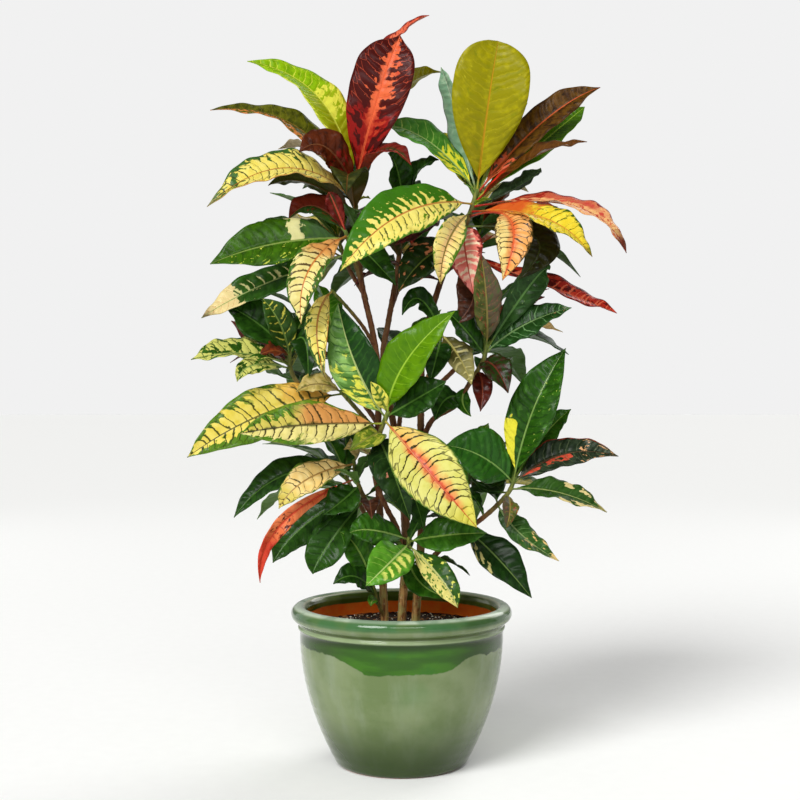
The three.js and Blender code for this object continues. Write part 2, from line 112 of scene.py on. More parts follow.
def cloud(place, scale, detail=3.0, stretch=None):
    """Soft noise from 0 to 1 at a place, with about scale lumps to a unit."""
    if stretch:
        place = add_node("Mapping", {"Vector": place, "Scale": stretch})
    return add_node("TexNoise", {"Vector": place, "Scale": scale, "Detail": detail})


def new_finish(name, roughness, **levels):
    """A material, its shader with the even values set on its own sockets, and the object's coordinates."""
    material = bpy.data.materials.new(name)
    material.use_nodes = True
    tree = material.node_tree
    shader = tree.nodes["Principled BSDF"]
    shader.inputs["Roughness"].default_value = roughness
    for socket, level in levels.items():
        shader.inputs[socket.replace("_", " ")].default_value = level
    return material, shader, Wire(tree, tree.nodes.new("ShaderNodeTexCoord").outputs["Object"])


bpy.context.scene.view_settings.view_transform = "Standard"

bpy.ops.mesh.primitive_plane_add(size=FLOOR_SIZE)
floor = bpy.context.object
floor.name = "floor"
floor_finish, floor_shader, place = new_finish("pale_floor", 0.9, Specular_IOR_Level=0.1)
join_in(floor_shader.inputs["Base Color"], lay(cloud(place, 40), "f6f6f4", "fafaf8"))
floor.data.materials.append(floor_finish)

surround = bpy.data.worlds.new("white_surround")
surround.use_nodes = True
tree = surround.node_tree
camera_ray = Wire(tree, tree.nodes.new("ShaderNodeLightPath").outputs["Is Camera Ray"])
background = tree.nodes["Background"]
join_in(background.inputs["Strength"], camera_ray.scaled(SURROUND_SEEN - SURROUND_FILL, SURROUND_FILL))
join_in(background.inputs["Color"], "ffffff")
bpy.context.scene.world = surround


def hang_lamp(name, kind, place, aim, power, size):
    """A lamp at a place, turned to what it lights."""
    light = bpy.data.lights.new(name, kind)
    light.energy = power
    if kind == "SUN":
        light.angle = math.radians(size)
    else:
        light.shape = "RECTANGLE"
        light.size, light.size_y = size
    lamp = bpy.data.objects.new(name, light)
    lamp.visible_camera = False
    lamp.location = place
    away = np.subtract(place, aim)
    lean = math.atan2(math.hypot(away[0], away[1]), away[2])
    lamp.rotation_euler = (lean, 0, math.atan2(away[0], -away[1]))
    bpy.context.collection.objects.link(lamp)


hang_lamp("broad_key", "SUN", (-2.0, -3.0, 3.2), (0, 0, 0.5), 2.7, 28)
hang_lamp("back_light", "SUN", (2.4, 3.0, 3.4), (0, 0, 0.5), 0.9, 38)
hang_lamp("left_side_softbox", "AREA", (-3.4, 2.5, 1.3), (0, 0, 0.5), 12, (2.1, 2.4))
hang_lamp("right_side_softbox", "AREA", (3.4, 2.5, 1.3), (0, 0, 0.5), 12, (2.1, 2.4))
hang_lamp("front_softbox", "AREA", (0.25, -2.3, 1.75), (0, 0, 0.4), 15, (1.5, 0.3))

camera = bpy.data.objects.new("camera", bpy.data.cameras.new("camera"))
camera.data.lens = CAMERA_LENS
camera.location = CAMERA_PLACE
camera.rotation_euler = (math.pi / 2, 0, 0)
bpy.context.collection.objects.link(camera)
bpy.context.scene.camera = camera

# The pot: stoneware thrown on a wheel, with a rolled rim over a groove and a small bead, dipped in a sage
# glaze.
# A darker green band is painted over the shoulder for the reflection and shade under the rim, and runs down
# in a wavy line, lowest in front. The roll's crest is painted pale as a highlight, its front carries a
# painted dark reflection, and the body is painted darker towards the foot as shade and reflection. Inside,
# the glaze ends in a bare terracotta band above the soil.

MM = 0.001
POT_TURNS = 144
FOOT, FOOT_EDGE, BODY_LOW, SHOULDER = 94, 3, 97, 152
SHOULDER_UP = 197
BEAD_AT, BEAD_SIZE = (152, 202.5), 3.0
ROLL_AT, ROLL_SIZE = (153, 223), 12
GROOVE_LINE = [(152.9, 207), (153.2, 208.6), (154.6, 210.2)]
WALL, POT_FLOOR = 9, 14
BARE_UP = 217.5
DARK_BAND_EDGE, DARK_BAND_DIP = 178, 18
# Heights at which the pot's colour goes over from one to another, some of them painted light and shade, and
# bands with a soft start and end.
FOOT_SHADE, SHADE_UNDER_BEAD, DARK_BAND_TOP, CREST_HIGHLIGHT = (108, 14), (188, 197), (204, 199), (230.5, 233.5)
RIM_PATCHES, INSIDE_TOP = (216, 224), (233.5, 228.5)
BEAD_BAND = (200.5, 202.5, 205.5, 207.5)
GROOVE_BAND = (206.5, 208, 210.5, 213)
RIM_REFLECTION_BAND = (218, 222.5, 229, 232.5)
LIP = (148.5, 146)


def body_radius(height):
    return BODY_LOW + (SHOULDER - BODY_LOW) * (1 - (1 - height / SHOULDER_UP) ** 2)


def arc(centre, size, start, end, steps):
    angles = np.radians(np.linspace(start, end, steps))
    return [(centre[0] + size * math.cos(a), centre[1] + size * math.sin(a)) for a in angles]


def throwing_line(height):
    return 0.16 * math.sin(height * 0.42) + 0.1 * math.sin(height * 1.07 + 1)


def new_object(name, places, faces, edges=()):
    """A new mesh object in the scene, from places in millimetres."""
    mesh = bpy.data.meshes.new(name)
    mesh.from_pydata(np.array(places) * MM, edges, faces)
    made = bpy.data.objects.new(name, mesh)
    bpy.context.collection.objects.link(made)
    return made


def rise(value, low, high):
    """0 at low and 1 at high, with a smooth step between them, whichever of the two is larger."""
    given = {"Value": value, "From Min": low, "From Max": high}
    return add_node("MapRange", given, interpolation_type="SMOOTHSTEP")


def band(value, start, full, fading, end):
    return rise(value, start, full) * rise(value, end, fading)


def parted(vector):
    """The three parts of a vector."""
    first = add_node("SeparateXYZ", {0: vector})
    return [Wire(vector.tree, part) for part in first.socket.node.outputs]


def relief(shader, height, depth):
    """A bump of that depth in metres under the shader's surface."""
    join_in(shader.inputs["Normal"], add_node("Bump", {"Height": height, "Distance": depth}))


def set_down(piece, finish, replaced):
    """Gives a piece of the plant or pot its finish, and makes it ride in place of a CAD node."""
    piece.data.materials.append(finish)
    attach(piece, "root")
    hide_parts(replaced)


pot_line = [(0, 0), (FOOT - 8, 0), (FOOT, 0), (FOOT + 2, 1)]
pot_line += [(body_radius(h) + throwing_line(h), h) for h in np.linspace(FOOT_EDGE, SHOULDER_UP - 1, 52)]
pot_line += arc(BEAD_AT, BEAD_SIZE, -62, 62, 9)
pot_line += GROOVE_LINE
pot_line += arc(ROLL_AT, ROLL_SIZE, -66, 192, 34)
pot_line += [(body_radius(h) - WALL, h) for h in np.linspace(SHOULDER_UP, POT_FLOOR, 26)]
pot_line += [(0, POT_FLOOR)]
pot_edges = [(i, i + 1) for i in range(len(pot_line) - 1)]
pot = new_object("glazed_pot", [(r, 0, z) for r, z in pot_line], [], pot_edges)
bpy.ops.object.select_all(action="DESELECT")
bpy.context.view_layer.objects.active = pot
pot.select_set(True)
bpy.ops.object.mode_set(mode="EDIT")
bpy.ops.mesh.select_all(action="SELECT")
bpy.ops.mesh.spin(steps=POT_TURNS, angle=2 * math.pi, center=(0, 0, 0), axis=(0, 0, 1))
bpy.ops.mesh.select_all(action="SELECT")
bpy.ops.mesh.remove_doubles(threshold=1e-6)
bpy.ops.mesh.normals_make_consistent(inside=False)
bpy.ops.object.mode_set(mode="OBJECT")
bpy.ops.object.shade_smooth()

glaze, glaze_shader, place = new_finish(
    "sage_glaze", 0.12, Specular_IOR_Level=0.12, Coat_Weight=0.45, Coat_Roughness=0.04)
x_part, y_part, up = parted(place)
up = reckon("DIVIDE", up, MM)
out = reckon("SQRT", reckon("POWER", x_part, 2) + reckon("POWER", y_part, 2))
front = reckon("DIVIDE", y_part * -1, out)
out = reckon("DIVIDE", out, MM)

mottle = cloud(place, 16, 5)
runs = cloud(place, 34, 4, stretch=(1, 1, 0.16))
sage = lay(rise(mottle, 0.35, 0.68), "647648", "7a8860")
sage = lay(rise(runs, 0.45, 0.75) * 0.5, sage, "8a967c")
sage = lay(rise(cloud(place, 12, 2), 0.55, 0.75) * 0.35, sage, "557a48")
# Painted shade and reflection: the body is painted darker towards the foot for the shade and the dark ground
# mirrored there.
sage = lay(rise(up, *FOOT_SHADE) * 0.94, sage, "2b3e12")

# Painted reflection and shade: a darker green band over the shoulder stands for the dark surroundings
# mirrored under the rim and the rim's shade. Its wavy lower edge dips lowest in front, and it is darker away
# from the front.
dip = rise(front, 0.72, 1.0) * -DARK_BAND_DIP
wander = cloud(place, 13, 3).scaled(22, DARK_BAND_EDGE - 11)
ripple = cloud(place, 75, 3).scaled(7, -3.5)
painted_dark_band = rise(up - (wander + ripple + dip), -0.8, 1.4) * rise(up, *DARK_BAND_TOP)
dark_band_streaks = cloud(place, 12, 4, stretch=(1, 1, 5))
dark_band_colour = lay(rise(dark_band_streaks, 0.38, 0.64), "265200", "346802")
dark_band_colour = lay(rise(cloud(place, 21, 3), 0.54, 0.68) * 0.4, dark_band_colour, "1a5c1c")
# Painted shade: the band is darker still just under the bead, where the rim shades it.
dark_band_colour = lay(rise(up, *SHADE_UNDER_BEAD) * 0.8, dark_band_colour, "142c02")
dark_band_colour = lay(rise(front, 0.95, 0.7) * 0.7, dark_band_colour, "1c2c00")
glazed = lay(painted_dark_band * 0.97, sage, dark_band_colour)

glazed = lay(band(up, *BEAD_BAND) * 0.55, glazed, "98aa82")
glazed = lay(band(up, *GROOVE_BAND) * 0.8, glazed, "3c4c1c")
# Painted reflection: a dark green band round the roll's front for the dark surroundings mirrored there.
rim_reflection_green = lay(rise(mottle, 0.4, 0.6), "1f4a1c", "3a602c")
glazed = lay(band(up, *RIM_REFLECTION_BAND) * 0.8, glazed, rim_reflection_green)
# Painted highlight: the roll's crest is painted pale where it catches the light; the cream lip line on its
# inner edge lies within it.
crest = rise(up, *CREST_HIGHLIGHT)
glazed = lay(crest * 0.9, glazed, "bccbb4")
rim_patch = rise(cloud(place, 17, 2), 0.52, 0.64) * rise(up, *RIM_PATCHES)
glazed = lay(rim_patch * 0.55, glazed, "34663c")
lip = crest * rise(out, *LIP)
glazed = lay(lip * 0.8, glazed, "d6d2b0")
specks = rise(cloud(place, 420, 2), 0.7, 0.76)
glazed = lay(specks * 0.3, glazed, "3f4f2c")

slope = reckon("POWER", reckon("MAXIMUM", up.scaled(-1 / SHOULDER_UP, 1.0), 0.0), 2)
mid_wall = slope.scaled(BODY_LOW - SHOULDER, SHOULDER - WALL / 2)
inside = rise(out - mid_wall, 1, -1) * rise(up, POT_FLOOR - 2, POT_FLOOR)
inner_glaze = lay(rise(mottle, 0.4, 0.6), "4a5c1c", "6f8038")
glazed = lay(inside * rise(up, *INSIDE_TOP), glazed, inner_glaze)
bare = inside * rise(up - mottle.scaled(6, BARE_UP - 3), 1, -1)
bare = reckon("MAXIMUM", bare, rise(up, 0.6, 0.2))
clay = lay(cloud(place, 90, 5), "ff5a08", "ff8e30")
join_in(glaze_shader.inputs["Base Color"], lay(bare, glazed, clay))
join_in(glaze_shader.inputs["Roughness"], bare.scaled(0.7, 0.11))
relief(glaze_shader, painted_dark_band.scaled(0.6, runs), 0.0005)
set_down(pot, glaze, "pot")

# The soil: dark bark-based potting mix that fills the pot to a finger below the rim, slightly mounded, with
# white beads of perlite and scraps of tan bark worked into its top.

SOIL_UP, SOIL_EDGE_DROP = 202.5, 4
MOUND, MOUND_REACH = 2.2, 0.3
SOIL_REACH = 140.4
SOIL_RINGS, SOIL_SPOKES = 46, 132
SOIL_LOWER_RINGS = (185, 120, 60, POT_FLOOR + 0.5)
PERLITE_BEADS, BARK_SCRAPS = 230, 330


def soil_top(x, y):
    """The height of the soil's lumpy top in millimetres, with a small mound round the stems."""
    out = math.hypot(x, y) / SOIL_REACH
    lumps = 2.2 * noise.noise((x / 9, y / 9, 3.1)) + 1.3 * noise.noise((x / 3.6, y / 3.6, 7.7))
    return SOIL_UP - SOIL_EDGE_DROP * out**2 + MOUND * math.exp(-((out / MOUND_REACH) ** 2)) + lumps


soil_places = [(0, 0, soil_top(0, 0))]
soil_rings = [(SOIL_REACH * ring / SOIL_RINGS, None) for ring in range(1, SOIL_RINGS + 1)]
soil_rings += [(body_radius(height) - WALL - 0.4, height) for height in SOIL_LOWER_RINGS]
for radius, height in soil_rings:
    for spoke in range(SOIL_SPOKES):
        angle = 2 * math.pi * spoke / SOIL_SPOKES
        x, y = radius * math.cos(angle), radius * math.sin(angle)
        soil_places.append((x, y, height or soil_top(x, y)))
soil_places.append((0, 0, POT_FLOOR + 0.5))
soil_faces = [(0, 1 + s, 1 + (s + 1) % SOIL_SPOKES) for s in range(SOIL_SPOKES)]
for ring in range(len(soil_rings) - 1):
    near, far = 1 + ring * SOIL_SPOKES, 1 + (ring + 1) * SOIL_SPOKES
    for spoke in range(SOIL_SPOKES):
        after = (spoke + 1) % SOIL_SPOKES
        soil_faces.append((near + spoke, far + spoke, far + after, near + after))
last = 1 + (len(soil_rings) - 1) * SOIL_SPOKES
soil_faces += [(len(soil_places) - 1, last + (s + 1) % SOIL_SPOKES, last + s) for s in range(SOIL_SPOKES)]
soil = new_object("potting_mix", soil_places, soil_faces)
soil.data.shade_smooth()

mix_finish, mix_shader, place = new_finish("dark_potting_mix", 0.95, Specular_IOR_Level=0.2)
crumbs = cloud(place, 260, 6)
mix_colour = lay(rise(crumbs, 0.38, 0.62), "160d08", "40281a")
mix_colour = lay(rise(cloud(place, 520, 2), 0.64, 0.7), mix_colour, "8a6238")
join_in(mix_shader.inputs["Base Color"], mix_colour)
relief(mix_shader, crumbs, 0.004)
set_down(soil, mix_finish, "soil")

bpy.ops.object.select_all(action="DESELECT")
bpy.ops.mesh.primitive_ico_sphere_add(subdivisions=1, radius=1)
pebble = bpy.context.object
PEBBLE_POINTS = [v.co.copy() for v in pebble.data.vertices]
PEBBLE_FACES = [tuple(f.vertices) for f in pebble.data.polygons]
bpy.data.objects.remove(pebble)


def scatter(name, count, seed, sizes, flatness, finish):
    """Small irregular bits pressed into the soil's top, joined in one piece."""
    draw = random.Random(seed)
    places, faces = [], []
    for _ in range(count):
        reach = (SOIL_REACH - 5) * math.sqrt(draw.uniform(0.01, 1))
        angle = draw.uniform(0, 2 * math.pi)
        x, y = reach * math.cos(angle), reach * math.sin(angle)
        size = draw.uniform(*sizes)
        long, wide = size * draw.uniform(0.9, 1.5), size * draw.uniform(0.6, 1)
        turn, tilt = draw.uniform(0, math.pi), draw.uniform(-0.5, 0.5)
        faces += [tuple(len(places) + i for i in face) for face in PEBBLE_FACES]
        for point in PEBBLE_POINTS:
            rough = 1 + draw.uniform(-0.18, 0.18)
            a, b, c = point.x * long * rough, point.y * wide * rough, point.z * size * flatness * rough
            places.append((
                x + a * math.cos(turn) - b * math.sin(turn),
                y + a * math.sin(turn) + b * math.cos(turn),
                soil_top(x, y) + size * flatness * 0.35 + (c + a * tilt),
            ))
    set_down(new_object(name, places, faces), finish, "soil")


perlite_finish, perlite_shader, place = new_finish("white_perlite", 0.9)
join_in(perlite_shader.inputs["Base Color"], lay(cloud(place, 300), "cfc4ae", "f2ece0"))
scraps_finish, scraps_shader, place = new_finish("bark_scraps", 0.85)
join_in(scraps_shader.inputs["Base Color"], lay(rise(cloud(place, 70), 0.35, 0.65), "3a1e0e", "a8733f"))
scatter("perlite_beads", PERLITE_BEADS, 5, (0.8, 2.0), 0.8, perlite_finish)
scatter("bark_scraps", BARK_SCRAPS, 9, (1.4, 4.0), 0.4, scraps_finish)

# The woody stems: three rooted cuttings, each a barked main stem with side branches, in millimetres. Old
# leaf scars ring them a finger apart, and the last hand's breadth of each branch is still green.

TUBE_SIDES = 12
RING_STEP = 3.0
SCAR_STEP, SCAR_HEIGHT, SCAR_REACH = 15.0, 0.5, 1.6
GREEN_REACH = 80
BRANCH_END = 0.45
DARKER_WOOD_UP = (0.25, 0.36)
# A branch's radius at its foot and at its tip, and the points that it grows through.
SHOOTS = {
    "left_main": (6.2, 3.6, [(-24, 0, 150.3), (-25, 0, 204), (-31, 4, 330), (-35, 8, 450), (-36, 6, 592),
        (-44, 2, 645), (-59, 0, 712), (-67, 0, 790), (-70, 0, 866)]),
    "left_upper": (3.6, 3, [(-53, 1, 690), (-66, -18, 735), (-83, -40, 790)]),
    "left_reach": (4, 3, [(-35, 8, 470), (-95, -6, 520), (-151, -20, 562), (-163, -22, 582),
        (-167, -22, 616)]),
    "left_twig": (3, 2.4, [(-40, 4, 620), (-58, -20, 650), (-85, -38, 682), (-104, -46, 702)]),
    "left_centre": (3.4, 3, [(-36, 8, 490), (-65, -25, 525), (-90, -48, 554)]),
    "left_low": (4, 3, [(-31, 4, 335), (-50, -30, 385), (-64, -52, 420), (-70, -62, 454)]),
    "left_foot": (3, 2.4, [(-26, 0, 214), (-35, -20, 240), (-42, -32, 268)]),
    "left_back_top": (3.6, 3, [(-57, 0, 700), (-82, 48, 745), (-102, 84, 800)]),
    "left_back": (4, 3, [(-36, 8, 505), (-78, 65, 565), (-112, 118, 640)]),
    "left_back_low": (4, 3, [(-30, 4, 320), (-60, 60, 370), (-95, 108, 432)]),
    "middle_main": (6.6, 3.6, [(0, 5, 150.3), (0, 5, 204), (7, 9, 330), (4, 14, 400), (-8, 22, 480),
        (-28, 36, 607), (-20, 40, 660), (-7, 40, 735), (5, 40, 842)]),
    "middle_front": (4.2, 3.4, [(3, 8, 290), (-6, -16, 347), (-22, -34, 381), (-38, -52, 423),
        (-34, -62, 482), (-19, -80, 524)]),
    "middle_low": (3.6, 3, [(2, 7, 255), (6, -18, 290), (10, -42, 320), (10, -50, 340)]),
    "middle_back_top": (3.6, 3, [(-16, 40, 680), (2, 90, 735), (20, 128, 792)]),
    "middle_back": (4, 3, [(-7, 21, 470), (0, 80, 530), (10, 138, 602)]),
    "middle_back_low": (4, 3, [(6, 8, 300), (3, 80, 345), (0, 145, 402)]),
    "right_main": (6.6, 3.8, [(21, 0, 150.3), (21, 0, 204), (29, -2, 320), (31, 2, 400), (29, 6, 520),
        (33, 5, 620), (50, 2, 690), (75, 0, 760), (100, 0, 812), (115, 0, 858)]),
    "right_mid": (4.2, 3.2, [(29, 4, 470), (46, -8, 510), (80, -18, 532), (99, -26, 562), (121, -30, 600),
        (127, -30, 626)]),
    "right_twig": (3, 2.6, [(30, 6, 560), (48, -12, 592), (60, -30, 640)]),
    "right_low": (4.2, 3.2, [(27, -1, 280), (62, -6, 320), (114, -15, 359), (140, -20, 382),
        (160, -22, 405), (169, -20, 428)]),
    "right_back_top": (3.6, 3, [(64, 1, 730), (100, 50, 765), (130, 88, 805)]),
    "right_back": (4, 3, [(29, 6, 540), (80, 60, 585), (130, 108, 642)]),
    "right_back_low": (4, 3, [(30, -1, 330), (70, 60, 370), (110, 112, 412)]),
}


def unit(vector):
    return vector / np.linalg.norm(vector, axis=-1, keepdims=True)


def route_of(points):
    """A smooth route through the points as places about a millimetre apart, and how far along each one is."""
    knots = np.array(points, float)
    knots = np.vstack([2 * knots[0] - knots[1], knots, 2 * knots[-1] - knots[-2]])
    places = []
    for a, b, c, d in zip(knots, knots[1:], knots[2:], knots[3:]):
        spans = [math.sqrt(np.linalg.norm(q - p)) for p, q in ((a, b), (b, c), (c, d))]
        leave = ((b - a) / spans[0] - (c - a) / (spans[0] + spans[1]) + (c - b) / spans[1]) * spans[1]
        arrive = ((c - b) / spans[1] - (d - b) / (spans[1] + spans[2]) + (d - c) / spans[2]) * spans[1]
        for t in np.arange(0, 1, 1 / max(4, np.linalg.norm(c - b))):
            bend = (3 * (c - b) - 2 * leave - arrive) * t**2 + (2 * (b - c) + leave + arrive) * t**3
            places.append(b + leave * t + bend)
    places = np.array([*places, knots[-2]])
    gone = np.concatenate([[0], np.cumsum(np.linalg.norm(np.diff(places, axis=0), axis=1))])
    return places, gone


def on_route(route, distance):
    places, gone = route
    return np.stack([np.interp(distance, gone, places[:, k]) for k in range(3)], -1)


def tube(centres, radii, sides):
    """Points and faces of a closed tube along centres, with a radius for each."""
    tangents = unit(np.gradient(centres, axis=0))
    aside = unit(np.cross(tangents, np.where(np.abs(tangents[:, 2:]) > 0.9, [[1.0, 0, 0]], [[0, 0, 1.0]])))
    for i in range(1, len(aside)):
        aside[i] = unit(aside[i - 1] - tangents[i] * (aside[i - 1] @ tangents[i]))
    across = np.cross(tangents, aside)
    angles = np.linspace(0, 2 * math.pi, sides, endpoint=False)[None, :, None]
    spokes = np.cos(angles) * aside[:, None] + np.sin(angles) * across[:, None]
    points = (centres[:, None] + radii[:, None, None] * spokes).reshape(-1, 3)
    faces = []
    for near in range(0, len(points) - sides, sides):
        far = near + sides
        faces += [(near + k, near + (k + 1) % sides, far + (k + 1) % sides, far + k) for k in range(sides)]
    faces += [tuple(reversed(range(sides))), tuple(range(len(points) - sides, len(points)))]
    return points, faces


def attribute(tree, name, output):
    """A value that the mesh holds at each of its points."""
    node = tree.nodes.new("ShaderNodeAttribute")
    node.attribute_name = name
    return Wire(tree, node.outputs[output])


bark, bark_shader, place = new_finish("croton_bark", 0.72, Specular_IOR_Level=0.35)
streaks = cloud(place, 240, 5, stretch=(1, 1, 0.14))
cracks = cloud(place, 500, 4, stretch=(1, 1, 0.3))
wood = lay(rise(streaks, 0.36, 0.62), "74481e", "bc9054")
wood = lay(rise(cloud(place, 60, 3), 0.46, 0.6) * 0.75, wood, "a39a58")
wood = lay(rise(cracks, 0.6, 0.72), wood, "d8c294")
wood = lay(rise(parted(place)[2], *DARKER_WOOD_UP) * 0.85, wood, lay(streaks, "301006", "743818"))
green_skin = lay(rise(streaks, 0.4, 0.65), "4f6420", "7f8a3a")
join_in(bark_shader.inputs["Base Color"], lay(attribute(place.tree, "young", "Fac"), wood, green_skin))
relief(bark_shader, streaks, 0.0014)

ROUTES = {name: route_of(points) for name, (_, _, points) in SHOOTS.items()}


def woody_stem(plant):
    """One cutting with all its branches as tubes sunk into each other, in one piece."""
    points, faces, greens = [], [], []
    start = 0
    for name, (low, high, _) in SHOOTS.items():
        if not name.startswith(plant):
            continue
        route = ROUTES[name]
        length = route[1][-1]
        steps = np.linspace(0, length, max(6, int(length / RING_STEP)))
        from_scar = (steps % SCAR_STEP) - SCAR_STEP / 2
        radii = np.interp(steps, [0, length], [low, high])
        radii = radii + SCAR_HEIGHT * np.exp(-((from_scar / SCAR_REACH) ** 2))
        radii[-1] *= BRANCH_END
        tube_points, tube_faces = tube(on_route(route, steps), radii, TUBE_SIDES)
        points.append(tube_points)
        faces += [tuple(start + i for i in face) for face in tube_faces]
        greens.append(np.repeat(np.clip(1 - (length - steps) / GREEN_REACH, 0, 1), TUBE_SIDES))
        start += len(tube_points)
    stem = new_object(f"{plant}_woody_stem", np.concatenate(points), faces)
    stem.data.attributes.new("young", "FLOAT", "POINT").data.foreach_set("value", np.concatenate(greens))
    stem.data.shade_smooth()
    set_down(stem, bark, f"leafy_stem_{plant}")


for plant in ("left", "middle", "right"):
    woody_stem(plant)

# The left cutting's crown: lime, bronze, flame red and netted yellow leaves round its tip. Every leaf is a
# stalk and a glossy blade about a millimetre thick, folded along its rib, waved at its edges and puckered
# between its side veins. Its colours lie in washes over the flesh, ordered by those veins.

STALK_SHARE = 0.07
STALK_SIZE = 1.6
BLADE_THICK = 0.8
FOLD = 0.3
FRILL, SMALL_FRILL = 3.0, 1.2
PUCKER = (0.45, 0.85)
RIB_GROOVE, RIB_GROOVE_REACH = 0.6, 1.6
ROOT_DEPTH = 1.5
WIDEST, BLUNT = 0.45, 1.9
VEIN_STEP = 14.0
SHOWN_ROW, BACK_ROW = 3.0, 5.0
BLADE_COLUMNS = 12
STALK_SIDES = 6
# The leaf colours are read in bright open light, so this share is taken off them under the lamps.
STUDIO_SHADE = 0.16
# How far a wash fades where it is kept to a span along the leaf or to a reach across it.
SPAN_FADE, REACH_FADE = 0.07, 0.1
# The youngest leaf of a fan and the oldest: how steep they stand and how far they droop, in degrees.
YOUNG_STEEP, OLD_STEEP = 64, 2
YOUNG_DROOP, OLD_DROOP = 18, 42
# Its length as a share of the oldest, how far down the branch a fan runs, a leaf's width as a share of
# its length, and how far round the fan each leaf stands from the one before.
YOUNG_LENGTH, FAN_DEPTH, FAN_LEAF_WIDTH, FAN_TURN = 0.62, 58, 0.34, 0.618


def packed(*parts):
    """Two or three values as one vector."""
    return add_node("CombineXYZ", dict(enumerate(parts)))


def read_leaf(place):
    """What a skin can read at each place: along the leaf, across it, and where its side veins run."""
    along, across, order = parted(attribute(place.tree, "leaf_map", "Vector"))
    off_rib, below, lot = parted(attribute(place.tree, "leaf_lot", "Vector"))
    grain = cloud(place, 85, 4)
    wobble = grain.scaled(0.6, -0.3)
    drift = cloud(place, 24, 2).scaled(1.6, -0.8)
    side = reckon("GREATER_THAN", across, 0.0)
    beat = order + side.scaled(0.5, lot) + (drift + wobble)
    nearest = reckon("ROUND", beat)
    number = packed(nearest, reckon("ROUND", lot * 90.0) + side)
    vein_lot = add_node("TexWhiteNoise", {"Vector": number}, "Value", noise_dimensions="2D")
    off_beat = vein_lot.scaled(0.5, beat - nearest)
    cell = packed(beat, across * 2.4, lot * 30.0)
    return SimpleNamespace(
        along=along, edge=abs(across), side=side, to_vein=abs(off_beat - 0.25), vein_lot=vein_lot,
        vein_end=reckon("FRACT", vein_lot * 7.0), cell=cell, fleck=cloud(cell, 1.3, 5),
        fine=cloud(place, 340, 3), grain=grain, wobble=wobble, off_rib=off_rib, below=below, lot=lot)


def kept_to(at, share, side=0, span=(0, 1), reach=(0, 1)):
    """Keeps a wash to one side of the rib, a span from base to tip (0 to 1) or a reach from rib to edge."""
    if side > 0:
        share = at.side * share
    if side < 0:
        share = (1.0 - at.side) * share
    for mark, (start, end), soft in ((at.along, span, SPAN_FADE), (at.edge, reach, REACH_FADE)):
        here = at.wobble.scaled(0.25, mark)
        if start > 0:
            share = rise(here, start - soft, start + soft) * share
        if end < 1:
            share = rise(here, end + soft, end - soft) * share
    return share


def layer(share_of):
    """Makes a wash in any colour out of a function for the share that it has at each place."""
    def in_colour(colour, *sizes, **place):
        return lambda at, below: lay(share_of(at, *sizes, **place), below, colour)
    return in_colour


@layer
def wash(at, strength=0.85, **place):
    """A plain tint."""
    return kept_to(at, strength, **place)


@layer
def blotches(at, amount=0.45, soft=0.05, size=1.3, **place):
    """Irregular patches that run along the side veins, with a clean edge where they are kept back."""
    return rise(kept_to(at, cloud(at.cell, size, 5), **place), 1 - amount, 1 - amount + soft)


@layer
def border(at, start, teeth=0.0, ragged=0.25, skew=0.0, soft=0.04, **place):
    """All outside start, from rib (0) to edge (1). Teeth run in along the veins, or out if negative."""
    tooth = at.to_vein.scaled(-2.0, 0.5) * at.vein_lot.scaled(1.3 * teeth, 0.35 * teeth)
    wild = at.fleck.scaled(2.4 * ragged, -1.2 * ragged)
    here = at.edge + tooth + (wild + at.side.scaled(2 * skew, -skew))
    return kept_to(at, rise(here, start - soft, start + soft), **place)


@layer
def glow(at, spread, strength=1.0, **place):
    """A flush that fades outwards from the rib."""
    return kept_to(at, rise(at.edge + at.wobble, spread, 0.0) * strength, **place)


@layer
def veins(at, width=0.1, strength=0.9, loops=0.0, **place):
    """The side veins, each with its own weight, and the loops that close them near the edge."""
    weight = at.vein_end.scaled(1.1 * width, 0.3 * width)
    weight = weight * at.fine.scaled(2.4, -0.2) * at.edge.scaled(-0.45, 1.2)
    end = at.vein_lot.scaled(0.32, 0.68)
    line = rise(at.to_vein, weight, weight * 0.4) * rise(at.edge, end, end - 0.1)
    if loops:
        off_bow = abs(at.wobble.scaled(0.5, at.edge) - at.to_vein.scaled(0.42, 0.7))
        line = reckon("MAXIMUM", line, rise(off_bow, 0.5 * width, 0.15 * width) * loops)
    return kept_to(at, line * strength, **place)


def leaf_skin(name, tones, *layers, stalk="6f7f36", gloss=0.13, depth=0.001):
    """A leaf's finish. Its tones are two of the flesh, the rib's and the underside's."""
    finish, shader, place = new_finish(
        name + "_leaf", 0.4, Specular_IOR_Level=0.08, Coat_Weight=gloss, Coat_Roughness=0.18)
    at = read_leaf(place)
    dark, light, rib, under = tones.split()
    colour = lay(rise(at.grain + at.lot.scaled(0.24, -0.12), 0.34, 0.7), dark, light)
    for lay_on in layers:
        colour = lay_on(at, colour)
    rib_reach = (at.along * at.along).scaled(-0.17, 0.2)
    rib_line = rise(at.off_rib, rib_reach, rib_reach * 0.4)
    colour = lay(rib_line, colour, rib)
    colour = lay(at.below * 0.75, colour, under)
    colour = lay(rise(at.along, 0.03, -0.03), colour, stalk)
    join_in(shader.inputs["Base Color"], lay(STUDIO_SHADE, colour, "000000"))
    height = rise(at.to_vein, 0.4, 0.0).scaled(-2.0, at.grain)
    relief(shader, rib_line.scaled(-2.5, height) * 0.2, depth)
    return finish


def half_width(along, width, widest, blunt):
    """Half the blade's width at a share of its length: a wedge at the base and a drawn-out tip."""
    rising = 1 - (np.maximum(widest - along, 0) / widest) ** 2
    outer = np.maximum(along - widest, 0) / (1 - widest)
    falling = (1 - outer**blunt) * (1 - 0.3 * outer**5) if blunt < 3 else (1 - outer**blunt) ** 0.6
    return width / 2 * np.minimum(rising, falling)


